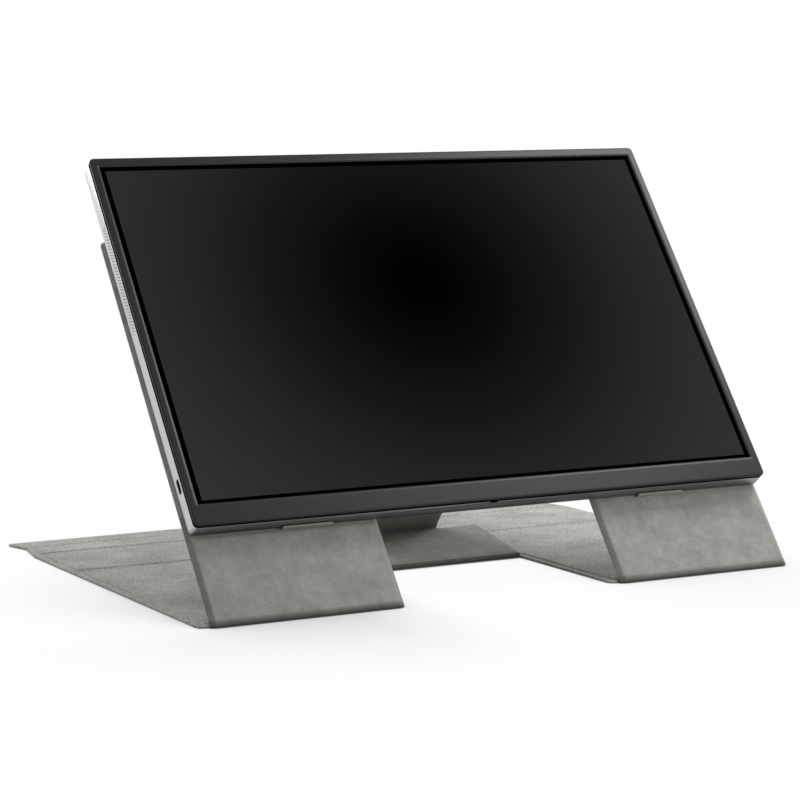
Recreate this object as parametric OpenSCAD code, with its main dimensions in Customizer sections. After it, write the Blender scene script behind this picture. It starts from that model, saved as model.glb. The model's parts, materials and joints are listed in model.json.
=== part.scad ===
// Portable monitor resting on its fold-out cover stand.
// Millimetres, +Z up. The cover lies on Z = 0, and the origin is below the middle of the whole object.
// "Along the panel" means up the slope of the support panel, measured from the front fold.

/* [Screen] */
// Width of the lit area of the display
active_w = 344.2; // [200:1:420]
// Height of the lit area of the display
active_h = 215.1; // [120:1:300]
// Black margin of the display glass in view beside and above the lit area
black_border = 3; // [1:0.5:5]
// Black margin of the display glass in view below the lit area
lower_border = 2.2; // [1:0.1:5]
// How far the glass lies below the front of the bezel
screen_recess = 0.6; // [0.4:0.1:1]

/* [Monitor body] */
// Bezel width beside the lit area
side_margin = 8; // [8:0.5:14]
// Bezel width above the lit area
top_margin = 8.9; // [8:0.1:14]
// Bezel width below the lit area
chin = 15; // [12:0.1:24]
// Depth of the monitor from its back to its bezel front
monitor_depth = 12.4; // [11.8:0.1:16]
// Radius of the monitor's corners
corner_r = 3; // [2:0.5:8]
// Wall of the rear housing
housing_wall = 1.2; // [1:0.1:1.6]
// Depth of the bezel frame
bezel_depth = 2.5; // [2:0.1:3]
// Softened edge round the back of the housing
back_edge = 1.6; // [0.8:0.1:2.4]
// Height of the monitor's lower edge along the panel
monitor_s = 54.2; // [45:0.1:60]

/* [Ports and holes] */
// Height of the left socket's middle above the monitor's lower edge
socket_s = 27.4; // [20:0.1:40]
// Middle of the ports above the monitor's back
port_n = 6; // [5.6:0.1:6.2]
// Length of a reversible socket's mouth
socket_w = 8.9; // [8:0.1:10]
// Thickness of a reversible socket's mouth
socket_h = 3.2; // [2.6:0.1:3.4]
// Diameter of one sound hole
sound_hole_d = 0.9; // [0.6:0.1:1]
// Pitch of the sound holes along the side
sound_pitch = 2.1; // [1.5:0.1:3]
// Distance between the three columns of sound holes
sound_column = 1.5; // [1.3:0.1:1.7]
// Length of the field of sound holes
sound_field = 73.1; // [30:0.1:90]
// Height of the sound holes' lower end above the monitor's lower edge
sound_s = 125; // [100:0.5:140]

/* [Support panel] */
// Slope of the support panel above the table
tilt = 52.6; // [50:0.1:56]
// Length of the support panel along its slope
support_len = 246; // [235:1:260]
// Width of the support panel
support_w = 362; // [340:1:400]
// Thickness of the support panel
support_t = 3; // [2.6:0.1:4]
// Width of the gap between the two feet
foot_gap = 136; // [110:1:150]
// Height of the gap between the feet along the slope
foot_gap_len = 66; // [60:1:80]
// Length of one ledge tab under the monitor
ledge_len = 30; // [15:1:50]
// Distance of a ledge tab's middle from the centre line
ledge_x = 112; // [95:1:150]
// How far a ledge tab stands out of the panel
ledge_out = 5; // [2:0.1:7]

/* [Base sheet] */
// Width of the base sheet
base_w = 374; // [350:1:410]
// Thickness of the base sheet
base_t = 1.6; // [1.5:0.1:2.2]
// Distance from the front fold to the first crease
crease_1 = 192; // [170:1:210]
// Length of the rear panel behind the first crease
rear_len = 68; // [40:1:90]
// Length of the spine strip
spine_len = 29; // [20:1:50]
// Length of the closing flap
flap_len = 20; // [15:1:40]
// Width that the cover has lost at the crease of the closing flap
flap_inset = 10; // [0:0.5:16]
// Open gap at each crease
crease_gap = 0.6; // [0.3:0.1:1]
// Cut at the front corners of the base sheet
corner_cut = 7; // [1:0.5:9]

/* [Prop] */
// Distance from the front fold to the fold of the prop's tongue
tongue_y = 107.5; // [100:0.5:120]
// Width of the tongue
tongue_w = 124.5; // [90:0.5:133]
// Length of the tongue from its fold to the crest
tongue_len = 55.5; // [45:0.5:60]
// Rise of the tongue above the table
tongue_rise = 10.4; // [7:0.1:12]
// Width of the strut
strut_w = 70; // [50:1:110]
// Direction of the strut from the crest, counted from straight backward
strut_dir = 130; // [127:1:133]
// Clearance between the strut's tip and the support panel
strut_gap = 2.2; // [2:0.1:4]
// Thickness of the tongue and the strut
prop_t = 2; // [1.8:0.1:2.4]

/* [Cover sheets] */
// Thickness of one sheet of cover material
sheet_t = 0.4; // [0.3:0.05:0.5]
// Pinched border round a stiffening board
border = 4.5; // [3:0.5:7]
// Thickness of the pinched border on the support panel
support_border_t = 1.6; // [1.2:0.1:2]
// Thickness of the pinched border on the base sheet
base_border_t = 1; // [0.9:0.1:1.2]
// Corner radius of the cover panels
cover_r = 3; // [1:0.5:6]

/* [Magnets and screws] */
// Diameter of a holding magnet
magnet_d = 15; // [8:0.5:20]
// Distance of the holding magnets from the centre line
magnet_x = 120; // [100:1:150]
// Diameter of a housing screw's shank
screw_d = 2; // [1.6:0.1:2.4]

/* [Hidden] */

$fn = 48;
eps = 0.05;          // overlap of a cut past the surface it starts from
seat = 0.2;          // air under the monitor and above the ledges
slip = 0.15;         // clearance round a part that slides or drops in

// Monitor, in the panel's own frame: x across, y along the panel, z out of the panel
mon_w = active_w + 2*side_margin;
mon_h = active_h + top_margin + chin;
mon_front = seat + monitor_depth;
housing_top = mon_front - bezel_depth;
glass_front = mon_front - screen_recess;
glass_t = 1;
films_t = 0.6;
guide_t = 2;
tray_t = 0.4;
hold = 1.5;                          // width of glass held behind the bezel
opening_w = active_w + 2*black_border;
opening_h = active_h + black_border + lower_border;
opening_s = chin - lower_border;     // opening's lower edge above the monitor's lower edge
glass_w = opening_w + 2*hold;
glass_h = opening_h + 2*hold;
glass_s = opening_s - hold;
films_n = glass_front - glass_t - films_t;
guide_n = films_n - guide_t;
tray_n = guide_n - tray_t;
floor_n = seat + housing_wall;       // inner face of the housing's back
inner_x = mon_w/2 - housing_wall;    // inner face of the housing's side walls
light_strip_w = 3;                   // the lamps' share of the tray along its lower edge

// Boards and sockets inside the monitor
board_n = floor_n + 1.4;
board_t = 1;
pillar_r = 2.2;
port_axis_n = seat + port_n;
socket_depth = 7.5;
shell_t = 0.35;                      // sheet metal of a socket's shell
shell_back = 0.8;                    // closed end of the shell
mouth_inset = 0.3;                   // a socket's mouth lies this far behind the side wall's face
blade_share = 0.72;                  // width of the contact blade, as a share of the mouth
blade_t = 0.7;
blade_inset = 0.8;                   // the blade begins this far behind the mouth
foot_d = 3;                          // depth of the foot that carries a socket
hdmi_w = 11;
hdmi_h = 3;
hdmi_depth = 7.5;
hdmi_s = 50;
jack_hole_r = 1.75;
jack_body = 5;
jack_depth = 12;
jack_s = 68;
jack_n = (board_n + board_t + tray_n)/2;
button_len = 10;
button_w = 2.6;
button_out = 0.5;
button_depth = 2.7;
button_travel = 0.6;                 // room behind the wall for the press
button_collar = 0.8;                 // the collar is this much larger all round
power_s = 96;
menu_s = 82;
light_hole_r = 0.6;
light_depth = 3;
light_collar_r = 1.4;
lamp_w = 2;
light_s = 105;
speaker_w = 20;
speaker_n = floor_n;
speaker_h = tray_n - floor_n - 0.4;  // leaves air under the tray
speaker_over = 2;                    // the speaker runs this far past the field of holes
windows = 3;
window_d = 3;
window_depth = 2.5;
screw_rows = [20, mon_h/2, mon_h - 20];
screw_columns = [-1, 0, 1];
screw_x = mon_w/2 - 26;
screw_head_r = screw_d;
screw_head_t = 0.6;
standoff_r = 2.6;
standoff_air = 0.6;                  // room between a standoff and a board's edge
pry_notch = [5, 1];                  // width and depth of the notch in the housing's lower rim, where a tool opens it
screw_cross = [2.2, 0.4];            // length of one arm pair of the cross recess, and its width and depth

// Board outlines, (x, y) of the lower left corner and the size
board_edge = 1.5;                    // air between a board and the side wall
driver_at = [-inner_x + board_edge, 10];
driver_size = [96, 62];
port_size = [40, 96];
port_at = [inner_x - board_edge - port_size[0], 14];
pillar_in = 5;                       // a pillar's axis from the board's edges
ribbon = [12, 0.4];                  // width and thickness of the ribbon cable
ribbon_s = 20;
ribbon_lap = 6;                      // length plugged in at each end
flex = [20, 10];

// Support panel and the fold in front of it
fold_r = 1.5;
fold_y = fold_r*(1 + cos(tilt))/sin(tilt);
fold_start = 6;                      // the board sheets begin here along the slope
hinge_z = base_t;
hinge_y = (base_t + support_t*cos(tilt))/sin(tilt)*cos(tilt) + support_t*sin(tilt);
support_x = support_w/2;
front_y = fold_y - fold_r;

// Base sheet
crease_2 = crease_1 + rear_len;
crease_3 = crease_2 + spine_len;
back_y = crease_3 + flap_len;
flap_w = base_w - flap_inset;
fold_air = 0.4;                      // air between a soft fold and the panel beside it
base_start = hinge_y + fold_air;
tongue_roll_r = (base_t + prop_t)/2 - 0.2;
tongue_z = base_t + 0.1;
tongue_air = 0.5;                    // air beside the tongue in the gap that it was cut from
base_gap_y = tongue_y + tongue_roll_r + fold_air;

// Prop: the crest is the fold between the tongue and the strut
crest_y = tongue_y + tongue_len*cos(tongue_rise) - prop_t/2*sin(tongue_rise);
crest_z = tongue_z + tongue_len*sin(tongue_rise) + prop_t/2*cos(tongue_rise);
crest_free = 1.9;                    // both boards stop this far from the crest's axis
crest_to_panel = (crest_y - hinge_y)*sin(tilt) - (crest_z - hinge_z)*cos(tilt);
strut_lean = strut_dir - tilt - 90;
strut_len = (crest_to_panel - strut_gap - prop_t/2*abs(sin(strut_lean)))/cos(strut_lean);
catch_s = hinge_y*cos(tilt) + hinge_z*sin(tilt)
        + (crest_y - hinge_y)*cos(tilt) + (crest_z - hinge_z)*sin(tilt)
        + strut_len*sin(-strut_lean);
catch_w = 90;
catch_h = 14;

// The origin is below the middle of everything that stands on the table
centre_y = (front_y + back_y)/2;

// Colours
GREY_GREEN = [0.55, 0.56, 0.53];
GREY_LIGHT = [0.63, 0.64, 0.61];
BOARD = [0.72, 0.66, 0.55];
SILVER = [0.80, 0.80, 0.81];
DARK = [0.20, 0.20, 0.21];
STEEL = [0.62, 0.63, 0.65];
GREEN = [0.10, 0.32, 0.20];
BLACK = [0.04, 0.04, 0.05];

// ---------- frames ----------

module on_table() { translate([0, -centre_y, 0]) children(); }
module on_panel() { on_table() rotate([tilt, 0, 0]) children(); }
module on_monitor() { on_panel() translate([0, monitor_s, 0]) children(); }
module on_tongue() { on_table() translate([0, tongue_y, tongue_z]) rotate([tongue_rise, 0, 0]) children(); }
module on_strut() { on_table() translate([0, crest_y, crest_z]) rotate([strut_dir, 0, 0]) children(); }

// ---------- flat shapes ----------

// A solid slab between two heights, from a flat outline
module slab(from, to) { translate([0, 0, from]) linear_extrude(to - from) children(); }

// Rectangle with round corners
module round_rect(x0, y0, x1, y1, r) {
  translate([x0 + r, y0]) square([x1 - x0 - 2*r, y1 - y0]);
  translate([x0, y0 + r]) square([x1 - x0, y1 - y0 - 2*r]);
  for (x = [x0 + r, x1 - r], y = [y0 + r, y1 - r]) translate([x, y]) circle(r);
}

// Slot with round ends, centred, long way along x
module slot(length, width) {
  square([length - width, width], center = true);
  for (side = [-1, 1]) translate([side*(length - width)/2, 0]) circle(width/2);
}

module mon_outline(inset) {
  round_rect(-mon_w/2 + inset, inset, mon_w/2 - inset, mon_h - inset, max(corner_r - inset, eps));
}

module centred_rect(w, s, h) { translate([-w/2, s]) square([w, h]); }

// Outlines of the cover's panels; inset shrinks each on every side
module support_flat(inset) {
  difference() {
    round_rect(-support_x + inset, fold_start + inset, support_x - inset, support_len - inset, cover_r);
    centred_rect(foot_gap + 2*inset, 0, foot_gap_len + inset);
  }
}

module base_flat(inset) {
  gap_x = tongue_w/2 + tongue_air + inset;
  difference() {
    round_rect(-base_w/2 + inset, base_start + inset, base_w/2 - inset,
               crease_1 - crease_gap/2 - inset, cover_r/3);
    centred_rect(2*gap_x, 0, base_gap_y + inset);
    for (side = [-1, 1]) {
      front_corner(side*(base_w/2 - inset), side, inset);
      front_corner(side*gap_x, -side, inset);
    }
  }
}

// What is cut off a front corner of the base sheet; side is the way out of the sheet
module front_corner(x, side, inset) {
  y = base_start + inset;
  polygon([[x + side, y + corner_cut + 1], [x - side*(corner_cut + 1), y - 1], [x + side, y - 1]]);
}

module rear_flat(inset) {
  centred_rect(base_w - 2*inset, crease_1 + crease_gap/2 + inset, rear_len - crease_gap - 2*inset);
}

module spine_flat(inset) {
  y0 = crease_2 + crease_gap/2 + inset;
  y1 = crease_3 - crease_gap/2 - inset;
  polygon([[-base_w/2 + inset, y0], [base_w/2 - inset, y0],
           [flap_w/2 - inset, y1], [-flap_w/2 + inset, y1]]);
}

module flap_flat(inset) {
  y0 = crease_3 + crease_gap/2 + inset;
  y1 = back_y - inset;
  polygon([[-flap_w/2 + inset, y0], [flap_w/2 - inset, y0],
           [base_w/2 - inset, y1], [inset - base_w/2, y1]]);
}

module tongue_flat(inset) {
  y0 = tongue_roll_r + 0.2 + inset;
  y1 = tongue_len - crest_free - inset;
  c = cover_r;
  w = tongue_w/2 - inset;
  polygon([[-w, y0], [w, y0], [w, y1 - c], [w - c, y1], [c - w, y1], [-w, y1 - c]]);
}

module strut_flat(inset) {
  y0 = crest_free + inset;
  difference() {
    round_rect(-strut_w/2 + inset, y0 - cover_r, strut_w/2 - inset, strut_len - inset, cover_r);
    centred_rect(strut_w, y0 - 2*cover_r, 2*cover_r);
  }
}

// ---------- monitor ----------

module port_slot(x_out, s, n, length, width, depth) {
  side = sign(x_out);
  translate([x_out + side*eps, s, n]) rotate([0, -90*side, 0]) rotate([0, 0, 90])
    linear_extrude(depth + eps) slot(length, width);
}

module sound_holes(side) {
  rows = floor(sound_field/sound_pitch);
  for (column = [-1:1], row = [0:rows - 1]) {
    stagger = column == 0 ? sound_pitch/2 : 0;
    translate([side*(mon_w/2 - housing_wall/2), sound_s + row*sound_pitch + stagger,
               port_axis_n + 0.4 + column*sound_column])
      rotate([0, 90, 0]) cylinder(d = sound_hole_d, h = housing_wall + 2*eps + 0.4, center = true, $fn = 16);
  }
}

module board_pillars(at, size) {
  for (x = [at[0] + pillar_in, at[0] + size[0] - pillar_in],
       y = [at[1] + pillar_in, at[1] + size[1] - pillar_in])
    translate([x, y, floor_n - eps]) cylinder(r = pillar_r, h = board_n - floor_n + eps);
}

module rear_housing() {
  color(SILVER) on_monitor() difference() {
    union() {
      difference() {
        union() {
          hull() {
            slab(seat, seat + eps) mon_outline(back_edge);
            slab(seat + back_edge, seat + back_edge + eps) mon_outline(0);
          }
          slab(seat + back_edge, housing_top) mon_outline(0);
        }
        slab(floor_n, housing_top + 1) mon_outline(housing_wall);
      }
      board_pillars(driver_at, driver_size);
      board_pillars(port_at, port_size);
    }
    port_slot(-mon_w/2, socket_s, port_axis_n, socket_w + 2*slip, socket_h + 2*slip, housing_wall + 1);
    port_slot(mon_w/2, socket_s, port_axis_n, socket_w + 2*slip, socket_h + 2*slip, housing_wall + 1);
    port_slot(mon_w/2, hdmi_s, port_axis_n, hdmi_w + 2*slip, hdmi_h + 2*slip, housing_wall + 1);
    translate([mon_w/2 - housing_wall - 1, jack_s, jack_n]) rotate([0, 90, 0])
      cylinder(r = jack_hole_r + slip, h = housing_wall + 2);
    port_slot(mon_w/2, power_s, port_axis_n, button_len + 2*slip, button_w + 2*slip, housing_wall + 1);
    port_slot(mon_w/2, menu_s, port_axis_n, button_len + 2*slip, button_w + 2*slip, housing_wall + 1);
    translate([mon_w/2 - housing_wall - 1, light_s, port_axis_n]) rotate([0, 90, 0])
      cylinder(r = light_hole_r, h = housing_wall + 2);
    for (side = [-1, 1]) sound_holes(side);
    slab(housing_top - pry_notch[1], housing_top + 1) centred_rect(pry_notch[0], -1, housing_wall + 2);
    housing_screw_places() {
      translate([0, 0, seat - eps]) cylinder(r = screw_head_r + slip, h = screw_head_t + 2*eps);
      translate([0, 0, seat - eps]) cylinder(r = screw_d/2 + slip, h = housing_wall + 2*eps);
    }
  }
}

module housing_screw_places() {
  for (x = screw_columns, y = screw_rows) translate([x*screw_x, y, 0]) children();
}

module front_bezel() {
  lip = 1.2;
  color(DARK) on_monitor() difference() {
    union() {
      slab(housing_top + slip, mon_front) mon_outline(0);
      slab(housing_top - lip, housing_top + slip) mon_outline(housing_wall + 0.05);
    }
    slab(housing_top - lip - 1, glass_front) centred_rect(glass_w, glass_s, glass_h);
    slab(glass_front - eps, mon_front + 1) centred_rect(opening_w, opening_s, opening_h);
  }
}

module display_panel() {
  color(BLACK) on_monitor()
    slab(glass_front - glass_t, glass_front) centred_rect(glass_w, glass_s, glass_h);
}

module optical_films() {
  color([0.92, 0.93, 0.95]) on_monitor()
    slab(films_n, films_n + films_t) centred_rect(glass_w - 2*tray_t, glass_s + tray_t, glass_h - 2*tray_t);
}

module light_guide() {
  color([0.85, 0.92, 0.95]) on_monitor() slab(guide_n, films_n)
    centred_rect(glass_w - 2*tray_t, glass_s + tray_t + light_strip_w, glass_h - 2*tray_t - light_strip_w);
}

// Lamps in a row along the lower edge of the light guide
module led_strip() {
  lamps = 36;
  pitch = active_w/lamps;
  lamp = [3, 0.8, 1.4];
  color([0.95, 0.92, 0.75]) on_monitor() {
    slab(guide_n, films_n - 0.2)
      centred_rect(active_w, glass_s + tray_t, light_strip_w - lamp[1]);
    for (i = [0:lamps - 1])
      translate([-active_w/2 + (i + 0.5)*pitch - lamp[0]/2,
                 glass_s + tray_t + light_strip_w - lamp[1], guide_n])
        cube(lamp);
  }
}

module panel_tray() {
  color(STEEL) on_monitor() difference() {
    union() {
      slab(tray_n, glass_front - glass_t) centred_rect(glass_w, glass_s, glass_h);
      housing_screw_places() translate([0, 0, floor_n]) cylinder(r = standoff_r, h = tray_n - floor_n + eps);
    }
    slab(guide_n, glass_front)
      centred_rect(glass_w - 2*tray_t, glass_s + tray_t, glass_h - 2*tray_t);
    housing_screw_places() translate([0, 0, floor_n - eps]) cylinder(d = screw_d, h = tray_n - floor_n);
  }
}

module housing_screws() {
  reach = tray_n - floor_n - 1;
  color(STEEL) on_monitor() housing_screw_places() difference() {
    union() {
      translate([0, 0, seat]) cylinder(r = screw_head_r, h = screw_head_t);
      translate([0, 0, seat]) cylinder(d = screw_d, h = housing_wall + reach);
    }
    for (turn = [0, 90]) rotate([0, 0, turn]) translate([-screw_cross[0]/2, -screw_cross[1]/2, seat - eps])
      cube([screw_cross[0], screw_cross[1], screw_cross[1]]);
  }
}

// A bare board that lets the screw pillars through, and the chips that stand on it
module circuit_board(at, size, chips) {
  color(GREEN) difference() {
    translate([at[0], at[1], board_n]) cube([size[0], size[1], board_t]);
    housing_screw_places() translate([0, 0, board_n - 1]) 
      cylinder(r = standoff_r + standoff_air, h = board_t + 2);
  }
  color(BLACK) for (chip = chips)
    translate([at[0] + chip[0], at[1] + chip[1], board_n + board_t - eps]) cube([chip[2], chip[2], 1.2]);
}

module driver_board() {
  on_monitor() circuit_board(driver_at, driver_size, [[24, 14, 12], [46, 30, 16], [70, 12, 9], [20, 44, 8]]);
}

module port_board() {
  on_monitor() circuit_board(port_at, port_size, [[8, 12, 9], [10, 60, 7]]);
}

module ribbon_cable() {
  x0 = driver_at[0] + driver_size[0] - ribbon_lap;
  x1 = port_at[0] + ribbon_lap;
  color([0.85, 0.82, 0.7]) on_monitor()
    translate([x0, driver_at[1] + ribbon_s, board_n + board_t]) cube([x1 - x0, ribbon[0], ribbon[1]]);
}

module display_flex() {
  color([0.75, 0.5, 0.2]) on_monitor()
    translate([driver_at[0] + driver_size[0] - flex[0] - ribbon_lap,
               driver_at[1] + driver_size[1] - 1.8*flex[1], board_n + board_t])
      cube([flex[0], flex[1], tray_n - board_n - board_t]);
}

// Hollow metal shell of a plug-in socket with its tongue, mouth towards the side wall
module socket_shell(side, s, length, width, depth) {
  translate([side*(mon_w/2 - mouth_inset), s, port_axis_n]) rotate([0, -90*side, 0]) rotate([0, 0, 90]) {
    difference() {
      linear_extrude(depth) slot(length, width);
      translate([0, 0, -eps]) linear_extrude(depth - shell_back)
        slot(length - 2*shell_t, width - 2*shell_t);
    }
    translate([-length*blade_share/2, -blade_t/2, blade_inset])
      cube([length*blade_share, blade_t, depth - blade_inset - eps]);
  }
}

// Foot that carries a socket on its board
module socket_foot(side, s, length, width, depth) {
  x_in = mon_w/2 - mouth_inset - depth;
  under = board_n + board_t;
  translate([side > 0 ? x_in : -x_in - foot_d, s - length/4, under])
    cube([foot_d, length/2, port_axis_n - width/2 + shell_t/2 - under]);
}

module left_usb_c_socket() {
  color(STEEL) on_monitor() {
    socket_shell(-1, socket_s, socket_w, socket_h, socket_depth);
    socket_foot(-1, socket_s, socket_w, socket_h, socket_depth);
  }
}

module right_usb_c_socket() {
  color(STEEL) on_monitor() {
    socket_shell(1, socket_s, socket_w, socket_h, socket_depth);
    socket_foot(1, socket_s, socket_w, socket_h, socket_depth);
  }
}

module mini_hdmi_socket() {
  color(STEEL) on_monitor() {
    socket_shell(1, hdmi_s, hdmi_w, hdmi_h, hdmi_depth);
    socket_foot(1, hdmi_s, hdmi_w, hdmi_h, hdmi_depth);
  }
}

module audio_jack() {
  under = board_n + board_t;
  color(BLACK) on_monitor() translate([inner_x - jack_depth, jack_s, 0]) difference() {
    translate([0, -jack_body/2, under]) cube([jack_depth, jack_body, tray_n - 0.1 - under]);
    translate([1, 0, jack_n]) rotate([0, 90, 0]) cylinder(r = jack_hole_r, h = jack_depth);
  }
}

// Flat speaker behind its sound holes, with a row of round windows in its outer face
module speaker(side) {
  x0 = side > 0 ? inner_x - speaker_w : -inner_x;
  color(BLACK) on_monitor() difference() {
    translate([x0, sound_s - speaker_over, speaker_n])
      cube([speaker_w, sound_field + 2*speaker_over, speaker_h]);
    for (i = [0:windows - 1])
      translate([side*inner_x, sound_s + sound_field*(i + 0.5)/windows, speaker_n + speaker_h/2])
        rotate([0, 90, 0]) cylinder(d = window_d, h = 2*window_depth, center = true, $fn = 24);
  }
}

module left_speaker() { speaker(-1); }
module right_speaker() { speaker(1); }

module monitor_steel_plates() {
  color(STEEL) on_monitor() for (x = [-magnet_x, magnet_x], s = magnet_rows)
    translate([x, s - monitor_s, floor_n]) cylinder(d = magnet_d + 4, h = 1);
}

module status_light() {
  color([0.9, 0.95, 1]) on_monitor()
    translate([inner_x - light_depth, light_s, port_axis_n]) rotate([0, 90, 0]) {
      cylinder(r = light_hole_r, h = light_depth + housing_wall);
      cylinder(r = light_collar_r, h = light_depth);
    }
  color(BLACK) on_monitor() translate([inner_x - light_depth, light_s - lamp_w/2, board_n + board_t])
    cube([lamp_w, lamp_w, port_axis_n - board_n - board_t]);
}

// Side button: a pill that shows through the wall, and a collar that keeps it in
module side_button(s) {
  reach = housing_wall + button_out;
  on_monitor() translate([mon_w/2 + button_out, s, port_axis_n]) rotate([0, -90, 0]) rotate([0, 0, 90]) {
    linear_extrude(reach + button_travel) slot(button_len, button_w);
    translate([0, 0, reach + button_travel]) linear_extrude(button_depth - reach)
      slot(button_len + 2*button_collar, button_w + 2*button_collar);
  }
}

module power_button() { color(SILVER) side_button(power_s); }
module menu_button() { color(SILVER) side_button(menu_s); }

// ---------- support panel ----------

magnet_rows = [monitor_s + 56.5, support_len - 28];
support_board_top = -sheet_t - 0.1;
support_board_under = -support_t + sheet_t;

module support_outer_sheet() {
  color(GREY_LIGHT) on_panel() slab(-support_t, support_board_under) support_flat(0);
}

module support_board() {
  color(BOARD) on_panel() slab(support_board_under, support_board_top) difference() {
    support_flat(border);
    for (x = [-magnet_x, magnet_x], s = magnet_rows) translate([x, s]) circle(d = magnet_d);
    centred_rect(catch_w, catch_s - catch_h/2, catch_h);
  }
}

module support_inner_sheet() {
  color(GREY_GREEN) on_panel() difference() {
    union() {
      slab(support_board_under, -support_t + support_border_t) support_flat(0);
      slab(support_board_under, 0) support_flat(border - sheet_t);
    }
    slab(support_board_under - 1, support_board_top) support_flat(border);
  }
}

// The soft fold that each foot stands on, from the base sheet round to the foot's front
module front_fold_roll() {
  front = -support_t + support_border_t;
  foot_w = support_x - foot_gap/2;
  color(GREY_GREEN) on_table() for (side = [-1, 1])
    translate([side > 0 ? foot_gap/2 : -support_x, 0, 0]) rotate([90, 0, 90]) linear_extrude(foot_w) {
      translate([fold_y, fold_r]) circle(fold_r);
      polygon([[fold_y, 0], [hinge_y - 0.2, 0], [hinge_y, hinge_z - 0.1],
               panel_point(fold_start, -support_t), panel_point(fold_start, front),
               panel_point(fold_y + 1, front/2), panel_point(fold_y, 0)]);
    }
}

// A point of the panel's side view, as (y, z) on the table
function panel_point(s, n) = [s*cos(tilt) - n*sin(tilt), s*sin(tilt) + n*cos(tilt)];

// Two tabs that the monitor's lower edge stands on, glued to the panel's face
module ledge_tabs() {
  thick = 1.6;
  corner = 1;
  color([0.72, 0.73, 0.72]) on_panel() for (side = [-1, 1])
    translate([side*ledge_x, monitor_s - seat, 0]) rotate([90, 0, 0]) linear_extrude(thick) intersection() {
      round_rect(-ledge_len/2, -2*corner, ledge_len/2, ledge_out, corner);
      translate([-ledge_len/2, 0]) square([ledge_len, ledge_out]);
    }
}

module support_magnets() {
  color(STEEL) on_panel() for (x = [-magnet_x, magnet_x], s = magnet_rows)
    translate([x, s, support_board_under])
      cylinder(d = magnet_d, h = support_board_top - support_board_under);
}

module catch_plate() {
  color(STEEL) on_panel() slab(support_board_under, support_board_top)
    centred_rect(catch_w, catch_s - catch_h/2, catch_h);
}

// ---------- base sheet ----------

base_board_top = base_t - sheet_t;

// A thin panel: an under sheet, a board, and a top sheet that steps down to the pinched border
module top_sheet(from, board_top, face, border_top) {
  difference() {
    union() {
      slab(from, border_top) children(0);
      slab(from, face) children(1);
    }
    slab(from - 1, board_top) children(2);
  }
}

module base_top_sheet() {
  color(GREY_LIGHT) on_table() top_sheet(sheet_t, base_board_top, base_t, base_border_t) {
    base_flat(0);
    base_flat(border - sheet_t);
    base_flat(border);
  }
}
module base_board() { color(BOARD) on_table() slab(sheet_t, base_board_top) base_flat(border); }
module base_under_sheet() { color(GREY_GREEN) on_table() slab(0, sheet_t) base_flat(0); }

module rear_top_sheet() {
  color(GREY_LIGHT) on_table() top_sheet(sheet_t, base_board_top, base_t, base_border_t) {
    rear_flat(0);
    rear_flat(border - sheet_t);
    rear_flat(border);
  }
}
module rear_board() { color(BOARD) on_table() slab(sheet_t, base_board_top) rear_flat(border); }
module rear_under_sheet() { color(GREY_GREEN) on_table() slab(0, sheet_t) rear_flat(0); }

module spine_top_sheet() {
  color(GREY_LIGHT) on_table() top_sheet(sheet_t, base_board_top, base_t, base_border_t) {
    spine_flat(0);
    spine_flat(border - sheet_t);
    spine_flat(border);
  }
}
module spine_board() { color(BOARD) on_table() slab(sheet_t, base_board_top) spine_flat(border); }
module spine_under_sheet() { color(GREY_GREEN) on_table() slab(0, sheet_t) spine_flat(0); }

flap_magnet = [24, 8];
flap_magnet_x = [-130, -45, 45, 130];

module flap_magnet_flat() {
  for (x = flap_magnet_x)
    translate([x - flap_magnet[0]/2, crease_3 + flap_len/2 - flap_magnet[1]/2]) square(flap_magnet);
}
module flap_top_sheet() {
  color(GREY_LIGHT) on_table() difference() {
    slab(sheet_t, base_border_t + sheet_t) flap_flat(0);
    slab(sheet_t - 1, base_border_t) flap_magnet_flat();
  }
}
module flap_under_sheet() { color(GREY_GREEN) on_table() slab(0, sheet_t) flap_flat(0); }
module flap_magnets() { color(STEEL) on_table() slab(sheet_t, base_border_t) flap_magnet_flat(); }

// ---------- prop ----------

tongue_border = 2;
prop_border_t = 1.5;

module tongue_top_sheet() {
  color(GREY_GREEN) on_tongue() top_sheet(sheet_t, prop_t - sheet_t, prop_t, prop_border_t) {
    tongue_flat(0);
    tongue_flat(tongue_border - sheet_t);
    tongue_flat(tongue_border);
  }
}
module tongue_board() { color(BOARD) on_tongue() slab(sheet_t, prop_t - sheet_t) tongue_flat(tongue_border); }
module tongue_under_sheet() { color(GREY_LIGHT) on_tongue() slab(0, sheet_t) tongue_flat(0); }

// The soft fold between the base sheet and the tongue
module tongue_fold_roll() {
  color(GREY_GREEN) on_tongue() {
    rotate([90, 0, 90]) cylinder(r = tongue_roll_r, h = tongue_w, center = true);
    slab(0, sheet_t) centred_rect(tongue_w, 0, tongue_roll_r + 0.2);
  }
}

strut_board_top = prop_t/2 - sheet_t;
strut_border_top = prop_border_t - prop_t/2;

module strut_front_sheet() {
  color(GREY_GREEN) on_strut() top_sheet(-strut_board_top, strut_board_top, prop_t/2, strut_border_top) {
    strut_flat(0);
    strut_flat(tongue_border - sheet_t);
    strut_flat(tongue_border);
  }
}
module strut_board() {
  color(BOARD) on_strut() slab(-strut_board_top, strut_board_top) difference() {
    strut_flat(tongue_border);
    strut_magnet_flat();
  }
}
module strut_back_sheet() { color(GREY_LIGHT) on_strut() slab(-prop_t/2, sheet_t - prop_t/2) strut_flat(0); }

// The soft crest between the tongue and the strut
module crest_roll() {
  color(GREY_GREEN) on_strut() {
    rotate([90, 0, 90]) cylinder(r = prop_t/2, h = strut_w, center = true);
    slab(-prop_t/2, sheet_t - prop_t/2) centred_rect(strut_w, 0, crest_free);
  }
}

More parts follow.
